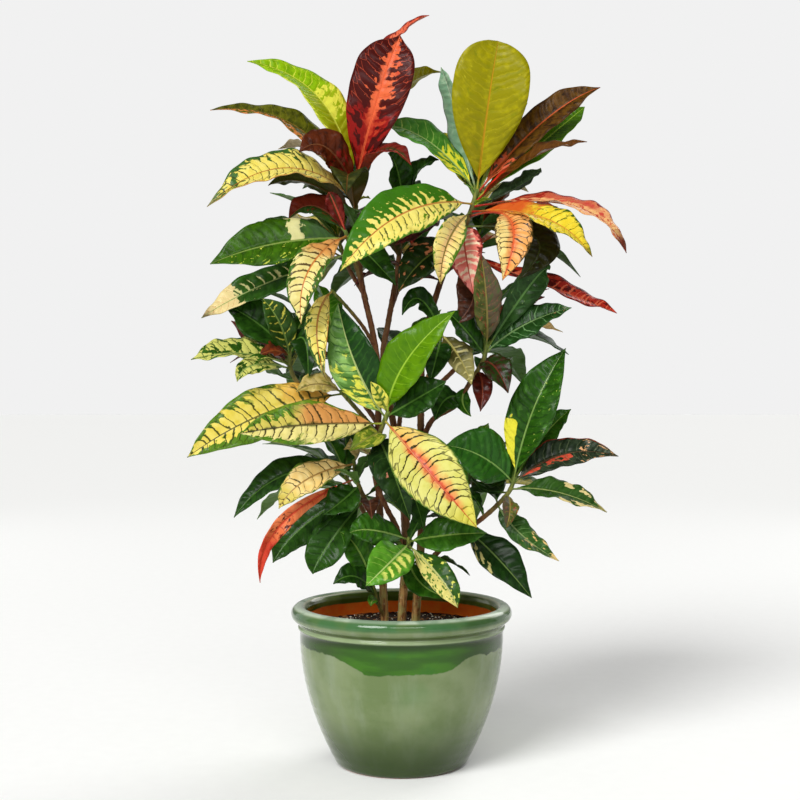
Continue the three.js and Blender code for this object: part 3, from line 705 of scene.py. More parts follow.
def leaf(plant, name, skin, root, mid, tip, width, face, widest=WIDEST, blunt=BLUNT, bare=STALK_SHARE,
         row=SHOWN_ROW):
    """A stalk and blade along a rib from root by mid to tip, of which the bare share has no blade."""
    draw = random.Random(name)
    root, mid, tip, face = (np.array(p, float) for p in (root, mid, tip, face))
    control = 2 * mid - (root + tip) / 2
    length = np.linalg.norm(mid - root) + np.linalg.norm(tip - mid)
    lot, waves = draw.random(), draw.uniform(1.6, 2.8)
    starts = (draw.uniform(0, 6.3), draw.uniform(0, 6.3))
    fold = FOLD * draw.uniform(0.8, 1.25)
    pucker = draw.uniform(*PUCKER)

    def rib(share):
        share = np.asarray(share)[:, None]
        place = root * (1 - share) ** 2 + control * 2 * share * (1 - share) + tip * share**2
        heading = unit((control - root) * (1 - share) + (tip - control) * share)
        return place, heading, unit(face - heading * (heading @ face)[:, None])

    rows = int(np.clip(length / row, 16, 90))
    bpy.ops.object.select_all(action="DESELECT")
    bpy.ops.mesh.primitive_grid_add(x_subdivisions=rows, y_subdivisions=BLADE_COLUMNS, size=2)
    blade = bpy.context.object
    mesh = blade.data
    flat = np.empty(len(mesh.vertices) * 3)
    mesh.vertices.foreach_get("co", flat)
    flat = flat.reshape(-1, 3)
    along, across = (flat[:, 0] + 1) / 2, flat[:, 1]
    edge = np.abs(across)
    least = np.interp(along, [0, 0.05, 0.9, 1], [STALK_SIZE, 0.6, 0.6, 0.35])
    half = np.maximum(half_width(along, width, widest, blunt), least)
    beat = (along * length - 0.35 * edge * half - 0.4 * half * edge**3) / VEIN_STEP
    start = np.where(across > 0, starts[0], starts[1])
    ease = np.clip(half / 12, 0, 1)
    lift = fold * edge * half * (1.1 - 0.25 * edge**2)
    sweep = waves * 6.28 * along
    frill = FRILL * np.sin(sweep + start) + SMALL_FRILL * np.sin(2.7 * sweep + 2 * start)
    lift += frill * edge**2.2 * ease
    crest = np.cos(2 * math.pi * (beat + lot + np.where(across > 0, 0.5, 0)))
    lift -= pucker * crest * ease * np.sin(math.pi * np.clip(edge, 0, 1) ** 0.8)
    lift -= RIB_GROOVE * np.exp(-((edge * half / RIB_GROOVE_REACH) ** 2)) * ease
    place, heading, up = rib(bare + (1 - bare) * along)
    points = place + np.cross(up, heading) * (across * half)[:, None] + up * (lift + BLADE_THICK / 2)[:, None]
    mesh.vertices.foreach_set("co", (points * MM).ravel())
    mesh.update()
    solid = blade.modifiers.new("thickness", "SOLIDIFY")
    solid.thickness = BLADE_THICK * MM
    solid.offset = -1
    bpy.ops.object.modifier_apply(modifier="thickness")

    rings = np.concatenate([np.linspace(0, bare, 5), np.linspace(bare, 0.97, 14)[1:]])
    centres, _, stalk_up = rib(rings)
    radii = np.interp(rings, [0, 0.04, bare, bare + 0.23, 0.97], [2.1, 1.5, STALK_SIZE, 1.1, 0.3])
    centres = centres - stalk_up * np.interp(rings, [0, bare, bare + 0.23, 1], [0, 0.5, 0.9, 0.4])[:, None]
    stalk = new_object(name + "_stalk", *tube(centres, radii, STALK_SIDES))
    stalk.select_set(True)
    bpy.ops.object.join()

    blade_map = np.stack([along, across, beat], 1)
    blade_lot = np.stack([edge * half / 10, 0 * edge, 0 * edge + lot], 1)
    stalk_along = np.repeat((rings - bare) / (1 - bare), STALK_SIDES)
    stalk_map = np.stack([stalk_along, 0 * stalk_along, 0 * stalk_along + 0.5], 1)
    stalk_lot = np.stack([0 * stalk_along, np.where(stalk_along > 0, 0.8, 0), 0 * stalk_along + lot], 1)
    leaf_map = np.concatenate([blade_map, blade_map, stalk_map])
    leaf_lot = np.concatenate([blade_lot, blade_lot + [0, 1, 0], stalk_lot])
    for title, values in (("leaf_map", leaf_map), ("leaf_lot", leaf_lot)):
        mesh.attributes.new(title, "FLOAT_VECTOR", "POINT").data.foreach_set("vector", values.ravel())
    mesh.shade_smooth()
    mesh.materials.clear()
    blade.name = mesh.name = name
    set_down(blade, skin, f"leafy_stem_{plant}")


def dress(shoot, *rows):
    """Leaves set one by one on a branch.

    A row is the leaf's skin, how far down the branch it sits, the middle of its rib, its tip, its width,
    the way its upper side looks, and at need where it is widest, how blunt its tip is and how much of it
    is bare stalk.
    """
    route = ROUTES[shoot]
    for number, (skin, down, *form) in enumerate(rows, 1):
        root = on_route(route, route[1][-1] - down - ROOT_DEPTH)
        leaf(shoot.split("_")[0], f"{shoot}_leaf_{number}", skin, root, *form)


def fan(shoot, skins, heading, spread, length, turn=0.0, down=6, kind="fan"):
    """Leaves fanned about a branch: the youngest stands up and is small, the oldest hangs out."""
    route = ROUTES[shoot]
    for number, skin in enumerate(skins):
        age = (number + 0.5) / len(skins)
        round_at = math.radians(heading + spread * (2 * ((number * FAN_TURN + turn) % 1) - 1))
        steep = math.radians(YOUNG_STEEP + (OLD_STEEP - YOUNG_STEEP) * age)
        droop = math.radians(YOUNG_DROOP + (OLD_DROOP - YOUNG_DROOP) * age)
        reach = length * (YOUNG_LENGTH + (1 - YOUNG_LENGTH) * age)
        root = on_route(route, route[1][-1] - down - FAN_DEPTH * age - ROOT_DEPTH)
        there, later, looks = (
            np.array([math.cos(round_at) * math.cos(up), math.sin(round_at) * math.cos(up), math.sin(up)])
            for up in (steep, steep - droop, steep + math.pi / 2)
        )
        mid = root + there * reach / 2
        tip = mid + later * reach / 2
        name = f"{shoot}_{kind}_{number + 1}"
        leaf(shoot.split("_")[0], name, skin, root, mid, tip, reach * FAN_LEAF_WIDTH, looks, row=BACK_ROW)


dark_green = leaf_skin("dark_green", "173609 2a5212 55802f 4a6a30",
    blotches("36601a", 0.44, 0.3), veins("0e2405", 0.13, 0.5))
mid_green = leaf_skin("mid_green", "25520c 3c6f18 8db04c 6a8a45",
    blotches("56871f", 0.46, 0.3), veins("1e4408", 0.12, 0.5))
fresh_green = leaf_skin("fresh_green", "38700f 558f1c a8c860 84a850",
    veins("8ab548", 0.09, 0.6), blotches("6ba52a", 0.42, 0.2))
lime_netted = leaf_skin("lime_netted", "689602 8db808 d0d848 98a420",
    wash("a4ac10", 0.6, span=(0, 0.5)), veins("d8dc4a", 0.07, 0.8, 0.6),
    blotches("e2e24c", 0.55, 0.05, size=1.2, side=-1, span=(0.28, 0.56)),
    wash("8f8a05", 0.85, span=(0, 0.28)), border("dce054", 0.95, side=1, span=(0.1, 0.8)), stalk="a8a020",
    gloss=0.02)
olive_edged = leaf_skin("olive_edged", "393d05 64660e 8a6a2a 6a4a1c",
    veins("7a7420", 0.05, 0.5), wash("50500e", 0.4, side=1),
    blotches("d0803c", 0.55, 0.05, side=1, reach=(0.35, 1)), stalk="8a5a2a")
beige = leaf_skin("beige", "c2ae8a ddd0ae a88a5a c8b48c", veins("b39a6a", 0.06, 0.6))
maroon_gloss = leaf_skin("maroon_gloss", "2a0f04 5a2409 7a4a2a 4a1c10",
    blotches("8c1a14", 0.5, 0.12, span=(0, 0.4)), veins("6f2c10", 0.06, 0.5), stalk="6a3a20")
yellow_net = leaf_skin("yellow_net", "ecd85e f5e680 b86a2c c9bd78",
    border("3f6a28", 0.78, 0.1, 1.0, side=-1, span=(0.3, 1)),
    blotches("3f6a2c", 0.52, 0.05, span=(0.72, 1)), veins("3a4214", 0.09, 0.95, 1.0),
    wash("5f7448", 0.9, span=(0.93, 1)), wash("e0b860", 0.5, span=(0, 0.2)), border("c89040", 0.94, side=1),
    stalk="b8a050")
olive_under = leaf_skin("olive_under", "28300c 434616 7a4a20 3a3f14",
    veins("5f5a20", 0.06, 0.5), wash("8a3a1c", 0.7, span=(0, 0.2)))
flame = leaf_skin("flame", "d04426 e66c3e f0683c 8a3020",
    border("480f0a", 0.2, -0.2, 0.85, 0.12), veins("b84a30", 0.05, 0.9, 0.9, span=(0.35, 1)),
    blotches("e8683e", 0.34, 0.04, size=1.7, span=(0.35, 0.95), reach=(0, 0.6)),
    wash("a81812", 0.75, span=(0, 0.4)), blotches("4a0e0a", 0.52, 0.05, span=(0, 0.5), reach=(0.25, 1)),
    glow("ee6c40", 0.2, 0.8, span=(0.3, 1)), stalk="b83a2c", gloss=0.06)
salmon = leaf_skin("salmon", "da5434 ea7450 f09070 c8603f",
    border("8a2418", 0.7, -0.3, 0.5, 0.1), veins("8a2418", 0.08, 0.7), stalk="c8503c")
olive_lime = leaf_skin("olive_lime", "5c7a10 7d9a18 a8b048 988a00",
    blotches("4a4f12", 0.5, 0.1), veins("b0b848", 0.05, 0.5))
red_over_green = leaf_skin("red_over_green", "5c120c 7d1f14 c04a38 a0402a",
    glow("27401a", 0.5, 0.9), veins("3a0c08", 0.09, 0.7), stalk="8a2a20")
umber = leaf_skin("umber", "33190e 54301e 7a4a34 4a2a1c", blotches("6f2a1e", 0.4, 0.12))
ember = leaf_skin("ember", "22300f 3a4a1c 8a5a30 4a4a24",
    blotches("8c2a1c", 0.46, 0.08), blotches("d88a50", 0.36, 0.04, size=1.8), veins("5a6a2a", 0.07, 0.5))

dress("left_main",
    (lime_netted, 6, (-124, 20, 996), (-235, 30, 1056), 64, (0.3, -0.7, 0.6)),
    (olive_edged, 30, (-157, -8, 948), (-284, -20, 970), 52, (0, -0.6, 0.8)),
    (beige, 44, (-125, 45, 915), (-191, 60, 928), 50, (0, 0.2, 1)),
    (maroon_gloss, 14, (-108, -45, 908), (-149, -60, 900), 56, (0.1, -0.9, 0.4)),
    (yellow_net, 26, (-169, -60, 877), (-278, -90, 816), 72, (-0.1, -0.7, 0.7)),
    (olive_under, 44, (-141, 10, 868), (-200, 2, 862), 56, (0, 0.35, 0.94)),
    (flame, 4, (-37, -34, 980), (-2, -24, 1080), 90, (-0.1, -0.95, 0.1), 0.6, 2.6),
    (salmon, 8, (-34, 26, 1044), (42, 20, 1123), 60, (-0.5, -0.4, 0.7)),
    (olive_lime, 12, (-12, 62, 1005), (64, 78, 1052), 58, (0, 0.3, 0.95)),
    (red_over_green, 20, (-30, -45, 903), (14, -66, 880), 48, (0, -0.5, 0.85)),
    (olive_under, 52, (-76, -52, 868), (-78, -102, 832), 56, (0, -0.3, 0.95)),
)
fan("left_main", [mid_green, dark_green, ember], 120, 36, 190)
fan("left_main", [fresh_green, lime_netted, mid_green], 280, 150, 42, 0.3, 0, "bud")
fan("left_main", [dark_green, ember, red_over_green, umber, maroon_gloss], 330, 110, 84, 0.1, 70, "inner")

# The left cutting's sprays: cream-marked leaves half-way up, two long golden netted ones in front, salmon
# and dark green ones over the rim, and three fans behind that the photograph's side hides.

cream_wedged = leaf_skin("cream_wedged", "2a4c04 3f6c0a 8aa04a 5f7f38",
    veins("1c3c04", 0.12, 0.5), blotches("e2dc98", 0.88, 0.04, side=-1, span=(0.26, 0.32)),
    wash("40583a", 0.6, side=-1, span=(0, 0.22)), blotches("c8d04c", 0.36, 0.03, size=2.6, side=1),
    stalk="8a7a3a")
red_and_green = leaf_skin("red_and_green", "244010 375620 8a4a30 5a3a24",
    wash("6a1410", 0.9, side=-1), blotches("7a1a14", 0.42, 0.06, side=1))
cream_orange = leaf_skin("cream_orange", "ead984 f4e79c d0742c c8b070",
    wash("dc8a40", 0.8, span=(0, 0.28)), border("3f6a1c", 0.78, 0.1, 0.7, 0.1, span=(0.25, 1)),
    veins("4a3012", 0.12, 0.95, 0.6), stalk="b07a3a")
cream_barred = leaf_skin("cream_barred", "27500e 3c6c1c a8b870 84a05a",
    veins("e6df98", 0.22, 0.95, side=-1, span=(0.15, 0.68), reach=(0, 0.6)),
    blotches("dfd48c", 0.36, 0.04, side=1), blotches("e8d292", 0.74, 0.06, span=(0.64, 1)),
    veins("c8905a", 0.07, 0.6, span=(0.66, 1)), wash("4a2f1a", 0.95, span=(0.92, 1)))
gold_flecked = leaf_skin("gold_flecked", "274a0a 3d6a18 9ab05a 7a9a50",
    blotches("d2d26c", 0.54, 0.04, size=0.9), veins("244a10", 0.1, 0.9, 0.8))
yellow_barred = leaf_skin("yellow_barred", "1f3c0c 33541a 7f9a48 5a7a3c",
    veins("d8cf50", 0.16, 0.9), blotches("2a4a14", 0.5, 0.1))
rust = leaf_skin("rust", "4f200c 73341a a05a2a 5c3018", blotches("963f1c", 0.42, 0.1))
maroon = leaf_skin("maroon", "35100a 531a10 7f3a22 5f2418", blotches("7a1c14", 0.4, 0.12))
gold_net = leaf_skin("gold_net", "e2cc48 efdc68 333c12 b8b050",
    border("4a7318", 0.84, 0.1, 0.5, 0.1), wash("e09a3c", 0.65, span=(0, 0.3)),
    border("58801c", 0.55, 0.3, 0.6, 0.15, span=(0.5, 1)), veins("2f3a10", 0.13, 0.95, 0.5))
tan = leaf_skin("tan", "b09c4c d4c078 7f6a34 b8a46c",
    veins("7a6a38", 0.07, 0.6), blotches("7a7a34", 0.4, 0.1))
straw_net = leaf_skin("straw_net", "f2cc78 fae098 b08a4a c99a58",
    wash("c8c040", 0.6, span=(0.7, 1)), veins("3c3410", 0.1, 0.95, 0.8), border("5a7a20", 0.93, 0.05, 0.2),
    stalk="b08a4a")
coral_tail = leaf_skin("coral_tail", "e06a3c ee8450 d8482c c85a3a",
    blotches("5a1c14", 0.46, 0.04, span=(0.35, 0.6)), veins("8a2a18", 0.07, 0.6),
    wash("d03024", 0.85, span=(0.6, 1)), stalk="a85a3a")

dress("left_upper",
    (cream_wedged, 12, (-184, -60, 767), (-275, -82, 735), 74, (0, -0.95, 0.35)),
    (red_and_green, 4, (-128, -30, 826), (-166, -38, 806), 52, (0, -0.7, 0.7)),
    (cream_orange, 8, (-131, -108, 724), (-141, -118, 647), 52, (-0.2, -0.97, 0.15)),
    (cream_barred, 34, (-206, -25, 710), (-293, -45, 660), 54, (0, -0.8, 0.6)),
    (dark_green, 8, (-46, -64, 748), (-8, -70, 706), 50, (0, -0.7, 0.7)),
    (red_over_green, 2, (-98, -52, 826), (-106, -60, 842), 24, (-0.2, -0.9, 0.3)),
)
dress("left_reach",
    (dark_green, 4, (-217, -20, 656), (-265, -30, 682), 66, (-0.1, -0.75, 0.6)),
    (yellow_barred, 10, (-178, -52, 652), (-203, -62, 688), 44, (0.2, -0.9, 0.3)),
    (maroon, 16, (-209, 10, 623), (-258, 20, 660), 50, (0, 0.7, 0.7)),
    (rust, 8, (-188, -38, 612), (-207, -44, 606), 34, (0, -0.6, 0.8)),
    (gold_flecked, 22, (-235, -58, 608), (-303, -78, 598), 68, (0, -0.5, 0.85)),
    (gold_flecked, 28, (-212, -84, 590), (-234, -98, 566), 30, (0.1, -0.9, 0.4)),
    (dark_green, 46, (-187, -10, 580), (-219, -18, 599), 34, (0, 0.3, 0.95)),
    (dark_green, 2, (-142, -52, 628), (-136, -62, 566), 42, (0, -0.9, 0.4)),
)
fan("left_reach", [mid_green, gold_flecked, dark_green], 104, 30, 170)
dress("left_twig", (yellow_net, 2, (-121, -86, 648), (-109, -96, 572), 34, (0, -1, 0.2)))
dress("left_centre",
    (gold_net, 6, (-200, -80, 519), (-305, -98, 458), 78, (0, -0.95, 0.35)),
    (tan, 2, (-121, -62, 563), (-152, -74, 552), 36, (0, -0.8, 0.6)),
)
dress("left_low",
    (dark_green, 14, (-171, -40, 430), (-245, -48, 368), 52, (0, -0.7, 0.7)),
    (straw_net, 6, (-133, -105, 428), (-173, -116, 387), 48, (0, -0.85, 0.5)),
    (coral_tail, 28, (-172, -84, 362), (-202, -90, 279), 23, (0.5, -0.8, 0.2)),
    (dark_green, 50, (-142, -40, 356), (-188, -50, 302), 60, (0, -0.75, 0.65)),
    (dark_green, 66, (-107, -60, 329), (-128, -74, 289), 56, (0, -0.9, 0.4)),
    (dark_green, 40, (-84, -74, 396), (-111, -86, 376), 50, (0, -0.8, 0.6)),
    (tan, 2, (-62, -78, 472), (-82, -104, 470), 30, (0, -0.6, 0.8)),
)
dress("left_foot",
    (mid_green, 3, (-64, -52, 322), (-89, -60, 348), 48, (0, -0.8, 0.6)),
    (dark_green, 20, (-66, -66, 284), (-98, -84, 276), 40, (0, -0.8, 0.6)),
    (fresh_green, 34, (-42, -42, 246), (-45, -48, 238), 16, (0, -0.9, 0.4)),
)
fan("left_low", [dark_green, mid_green, dark_green, umber], 320, 90, 92, 0.4, 26, "inner")
fan("left_back_top", [olive_lime, mid_green, yellow_net, dark_green, ember, cream_barred], 164, 60, 195)
fan("left_back", [fresh_green, dark_green, dark_green, straw_net, maroon, dark_green], 152, 70, 205, 0.2)
fan("left_back_low", [mid_green, dark_green, mid_green, dark_green, mid_green, mid_green], 158, 66, 200, 0.4)

# The middle cutting's leaves: a short crown hidden behind the others, and in front a bright lime leaf, a
# rose-ribbed yellow one and an orange one. Fresh green leaves stand on its lowest branch, and three fans
# hide behind it.

plum = leaf_skin("plum", "3a1a1c 552a26 8a3a30 4f2622", blotches("9a2a22", 0.45, 0.08))
lime = leaf_skin("lime", "467402 5e8c02 9cc43a 93b530",
    veins("8ab828", 0.05, 0.6), wash("447404", 0.5, side=1), stalk="a8bc40")
half_mottled = leaf_skin("half_mottled", "173a10 244c18 b8c87c 5a7a40",
    wash("5c8a38", 0.85, side=1), blotches("dad94a", 0.47, 0.04, side=1, span=(0, 0.66)),
    blotches("8cb860", 0.54, 0.2, size=0.8, side=1),
    blotches("e2de50", 0.54, 0.05, size=1.7, side=1, span=(0.05, 0.36)),
    blotches("d6cc5c", 0.44, 0.04, side=-1, span=(0, 0.2)), veins("2f5a1c", 0.16, 0.85))
yellow_striped = leaf_skin("yellow_striped", "d8d040 e8e060 5a7a24 b8b850", veins("3f6a1c", 0.22, 0.95))
rose_ribbed = leaf_skin("rose_ribbed", "d4d064 e0dc7c d4482e cfc478",
    glow("ee7c50", 0.55, 0.9, side=1, span=(0.1, 0.85)), glow("f0925a", 0.3, 0.7, side=-1, span=(0.1, 0.7)),
    wash("eeb860", 0.6, side=1, span=(0, 0.25)), veins("2c2c0c", 0.12, 1.0, 0.75),
    glow("c8301c", 0.13, 0.7, span=(0.1, 0.8)), wash("dcd040", 0.6, span=(0.82, 1)),
    border("3f6a1c", 0.95, 0.03, 0.06), stalk="a89a3c")
orange_upper = leaf_skin("orange_upper", "dccf70 ecdf8c 2a2e10 c8a860",
    wash("d98a44", 0.85, side=-1, span=(0, 0.5)), wash("c8b838", 0.7, side=-1, span=(0.5, 1)),
    border("54801c", 0.6, 0.2, 0.6, -0.1, span=(0.5, 1)), border("6a8a20", 0.93, 0.1, 0.4, -0.05),
    glow("2f4410", 0.16, 0.9, span=(0.35, 1)), veins("332c10", 0.13, 0.95, 0.4), stalk="a8b040")
pink_patched = leaf_skin("pink_patched", "152c0c 284418 5a7a34 4a5a30",
    blotches("d88a70", 0.34, 0.04, size=1.0), veins("3a5a24", 0.07, 0.5))
moss_mottled = leaf_skin("moss_mottled", "4a6414 6a8020 8a8a3a 66782c",
    blotches("a8a838", 0.5, 0.1), blotches("33500f", 0.4, 0.08, size=2))
quilted_green = leaf_skin("quilted_green", "2f5f10 4a7f20 96b85a 7a9a50",
    veins("24500c", 0.14, 0.6), blotches("6a9a3c", 0.4, 0.2), border("2a5410", 0.75, 0, 0.3, soft=0.2),
    depth=0.003)
light_ribbed = leaf_skin("light_ribbed", "458018 61a02a bcd478 8aa850",
    veins("a8c85a", 0.06, 0.5), veins("e2e470", 0.34, 0.95, side=1, span=(0.2, 0.72), reach=(0.15, 0.8)))
green_and_yellow = leaf_skin("green_and_yellow", "264a12 38641e c8cc80 8a9a50",
    wash("ecdf80", 0.95, side=-1), blotches("5a8030", 0.47, 0.04, size=1.9, side=-1),
    blotches("d8d860", 0.42, 0.04, side=1))

dress("middle_main",
    (dark_green, 4, (25, 12, 884), (56, 0, 900), 44, (0, -0.6, 0.8)),
    (dark_green, 12, (-6, -6, 882), (-20, -28, 905), 44, (0, -0.7, 0.5)),
    (plum, 30, (32, -20, 800), (-10, -62, 764), 50, (0, -0.6, 0.8)),
)
fan("middle_main", [mid_green, plum], 90, 32, 170, 0.3)
fan("middle_main", [fresh_green, lime, mid_green], 260, 150, 42, 0.6, 0, "bud")
fan("middle_main", [plum, dark_green, ember, dark_green, mid_green, plum], 270, 150, 80, 0.2, 60, "inner")
dress("middle_front",
    (lime, 4, (6, -106, 594), (75, -120, 665), 68, (-0.3, -0.9, 0.3)),
    (half_mottled, 10, (-66, -78, 590), (-92, -64, 681), 72, (-0.3, -0.9, 0.3)),
    (yellow_striped, 2, (-31, -92, 545), (-44, -96, 566), 20, (0, -1, 0.2)),
    (rose_ribbed, 14, (37, -140, 441), (104, -152, 364), 86, (-0.1, -0.95, 0.3)),
    (orange_upper, 20, (-135, -130, 505), (-224, -144, 493), 64, (0, -0.95, 0.35)),
    (dark_green, 8, (24, -96, 543), (63, -106, 566), 58, (0, -0.85, 0.5)),
    (pink_patched, 44, (-16, -100, 448), (12, -112, 370), 60, (0, -0.95, 0.3)),
    (moss_mottled, 36, (-44, -94, 488), (-74, -106, 468), 40, (0, -0.8, 0.5)),
    (dark_green, 66, (6, -60, 424), (32, -80, 352), 54, (0.1, -0.9, 0.3)),
)
dress("middle_low",
    (quilted_green, 3, (-42, -80, 353), (-74, -90, 350), 52, (0, -0.85, 0.5)),
    (light_ribbed, 10, (-16, -110, 311), (-50, -130, 280), 60, (0.1, -0.85, 0.5)),
    (mid_green, 6, (66, -82, 346), (122, -92, 350), 54, (0, -0.85, 0.5)),
    (green_and_yellow, 12, (54, -106, 289), (79, -120, 248), 40, (0, -0.85, 0.4)),
    (mid_green, 30, (27, -70, 276), (68, -92, 258), 42, (0, -0.75, 0.65)),
)
fan("middle_low", [dark_green, mid_green, dark_green, dark_green], 90, 110, 112, 0.3, 4, "inner")
fan("middle_back_top", [red_over_green, mid_green, yellow_net, dark_green, dark_green], 90, 48, 195, 0.5)
fan("middle_back", [lime, dark_green, straw_net, ember, dark_green], 90, 50, 205, 0.1)
fan("middle_back_low", [mid_green, rose_ribbed, dark_green, cream_barred, mid_green], 92, 50, 200, 0.3)

# The right cutting's crown: a broad olive leaf held upright, bronze leaves beside it, and under them a
# comb-marked green one with yellow, red, coral and near-black leaves, each on its own stalk.

pale_glossed = leaf_skin("pale_glossed", "3d7a22 5c9434 a8c070 7aa050",
    veins("a6c860", 0.07, 0.7), blotches("e0dc38", 0.54, 0.05, size=1.5, span=(0, 0.34)))
yellow_blotched = leaf_skin("yellow_blotched", "2a5010 406a1c 9ab04a 6a8a3c",
    blotches("dcd83c", 0.5, 0.04), veins("3a6018", 0.08, 0.6))
pale_strip = leaf_skin("pale_strip", "7fa886 a5c4a0 c8d8b8 a0bc98", veins("6a9a78", 0.07, 0.6))
olive_broad = leaf_skin("olive_broad", "908a02 b0a606 c89018 7c7a02",
    blotches("7a8006", 0.45, 0.25, size=0.9), veins("b0a418", 0.06, 0.5),
    blotches("b8ac20", 0.33, 0.05, size=2.6), stalk="a8a83c", gloss=0.08)
yellow_green = leaf_skin("yellow_green", "8fae2c b0c848 d0dc70 9ab040", veins("c8d860", 0.06, 0.6))
bronze = leaf_skin("bronze", "3a2008 60400c cf5a28 6a3c10",
    veins("74480f", 0.06, 0.6), blotches("2a1804", 0.46, 0.15),
    blotches("cf5a34", 0.55, 0.06, span=(0, 0.22)), stalk="c23a28", gloss=0.03, depth=0.0007)
bronze_narrow = leaf_skin("bronze_narrow", "3e2206 60380a a85a28 5f360c",
    veins("7f5014", 0.06, 0.5), wash("d8281c", 0.9, span=(0, 0.2)), stalk="d0302a")
slate_green = leaf_skin("slate_green", "2a3c20 44583a 6f8a58 50684a", veins("5f7a4c", 0.07, 0.5))
peach_edged = leaf_skin("peach_edged", "eaa870 f6cc80 a83022 c8885a",
    wash("c23a2c", 0.8, side=1, span=(0, 0.6), reach=(0.3, 1)), blotches("cc5040", 0.47, 0.08),
    blotches("b02c1e", 0.56, 0.06, span=(0, 0.3)), border("8a1c14", 0.88, 0, 0.4, side=1),
    veins("a83424", 0.06, 0.6), wash("4a120e", 0.95, span=(0.86, 1)), stalk="a8281e")
yellow_ticked = leaf_skin("yellow_ticked", "e8cc2c f3de48 dd8a30 c89a40",
    border("41600f", 0.92, 0.2, 0.35, 0.04), blotches("4f7014", 0.36, 0.04, size=2.2, reach=(0.3, 1)),
    veins("3f4f10", 0.07, 0.9, 0.5, span=(0.3, 0.95)), wash("cf4220", 0.9, span=(0, 0.32)),
    blotches("d8752c", 0.5, 0.1, span=(0.25, 0.5)), wash("4a5a1c", 0.9, span=(0.92, 1)), stalk="a8281e")
chevron = leaf_skin("chevron", "eec66c f6dc8c dd4a24 c99a58",
    wash("e6964a", 0.8, side=1), glow("dc5c28", 0.4, 0.85), wash("e08a44", 0.6, span=(0, 0.25)),
    veins("2c1c0c", 0.1, 1.0, 1.0), border("4a3a14", 0.93, 0.05, 0.25), stalk="b8402a")
near_black = leaf_skin("near_black", "140e04 2a2c08 3f4a1c 2a2c10",
    veins("2c3012", 0.06, 0.3), blotches("33400f", 0.4, 0.1), depth=0.0008)
scarlet = leaf_skin("scarlet", "b4281a cc4028 f0805c 9a3020",
    blotches("5a0f0a", 0.5, 0.06, size=0.9), veins("ee7450", 0.2, 0.9), border("6a1410", 0.9, 0, 0.3),
    stalk="a83428")
coral = leaf_skin("coral", "ee7a6c f8aa98 a83c30 b87058",
    veins("fae8c2", 0.3, 0.9, span=(0.1, 0.85)), border("7a2420", 0.82, -0.2, 0.4),
    wash("8a4038", 0.4, side=-1))
pale_hanging = leaf_skin("pale_hanging", "ecd272 f3e08c 7a6a24 c8b868",
    border("57801f", 0.86, 0.15, 0.5, 0.1), glow("f0b884", 0.5, 0.7), veins("3c3a14", 0.1, 0.9, 0.3))
combed = leaf_skin("combed", "ead966 f4e67c c8702e b8b060",
    border("3a7310", 0.22, -0.6, 0.75, soft=0.03, side=-1), border("4a8018", 0.9, -0.2, 0.3, side=1),
    blotches("e6dc6c", 0.34, 0.03, size=2.6, side=-1, reach=(0.4, 0.95)),
    veins("35440f", 0.14, 0.95, side=1, reach=(0.1, 0.75)),
    blotches("5c8414", 0.42, 0.04, side=1, size=2.0, reach=(0.3, 1)), stalk="b89a3c")
orange_spotted = leaf_skin("orange_spotted", "1c300c 304a18 6a7a34 3f4a24",
    blotches("dc8a5c", 0.43, 0.05, size=0.9), veins("0e2405", 0.12, 0.5))

dress("right_main",
    (pale_glossed, 6, (35, 2, 932), (-49, 4, 954), 68, (0.2, -0.65, 0.75)),
    (yellow_blotched, 14, (77, 44, 918), (54, 64, 956), 48, (0.3, -0.6, 0.6)),
    (pale_strip, 8, (84, 12, 966), (60, 22, 1045), 54, (-0.9, -0.35, 0.2)),
    (olive_broad, 4, (127, -30, 970), (142, -40, 1067), 112, (0, -1, 0.05), 0.6, 3),
    (yellow_green, 12, (161, 22, 940), (192, 32, 993), 55, (-0.5, 0.3, 0.8)),
    (bronze, 10, (209, -10, 953), (295, -20, 1004), 55, (-0.3, -0.85, 0.4)),
    (lime, 18, (220, 22, 936), (280, 36, 988), 55, (-0.2, -0.8, 0.5)),
    (bronze_narrow, 24, (190, -50, 894), (269, -64, 914), 50, (0, -0.45, 0.9)),
    (slate_green, 30, (178, 4, 862), (210, 10, 890), 44, (0, -0.4, 0.9)),
    (peach_edged, 28, (250, -60, 822), (323, -80, 751), 48, (0.1, -0.45, 0.85)),
    (yellow_ticked, 36, (203, -92, 800), (269, -112, 742), 56, (0, -0.6, 0.8)),
    (chevron, 44, (155, -95, 795), (142, -120, 708), 54, (0, -1, 0.3), 0.5, 1.9, 0.33),
    (near_black, 60, (196, -45, 778), (170, -55, 715), 66, (0.3, -0.8, 0.5)),
    (scarlet, 100, (228, -12, 706), (318, -30, 668), 48, (0, -0.5, 0.85)),
    (coral, 62, (92, -66, 758), (103, -90, 690), 54, (-0.2, -0.95, 0.2)),
    (umber, 74, (107, -52, 704), (77, -66, 650), 52, (-0.2, -0.9, 0.3)),
    (pale_hanging, 36, (66, -112, 764), (55, -118, 703), 40, (0.2, -0.95, 0.2)),
    (combed, 24, (2, -92, 806), (-86, -130, 720), 82, (0.1, -0.9, 0.45)),
    (orange_spotted, 90, (35, -40, 748), (-5, -62, 697), 58, (0.1, -0.85, 0.5)),
)
fan("right_main", [mid_green, yellow_net, dark_green], 78, 36, 190, 0.45)
fan("right_main", [fresh_green, lime, mid_green], 270, 150, 42, 0.1, 0, "bud")
fan("right_main", [dark_green, near_black, ember, dark_green, umber], 240, 130, 78, 0.7, 96, "inner")

# The right cutting's lower sprays: small dark and maroon leaves half-way up, quilted green ones reaching
# out on the right with one marked in coral, and three fans behind.

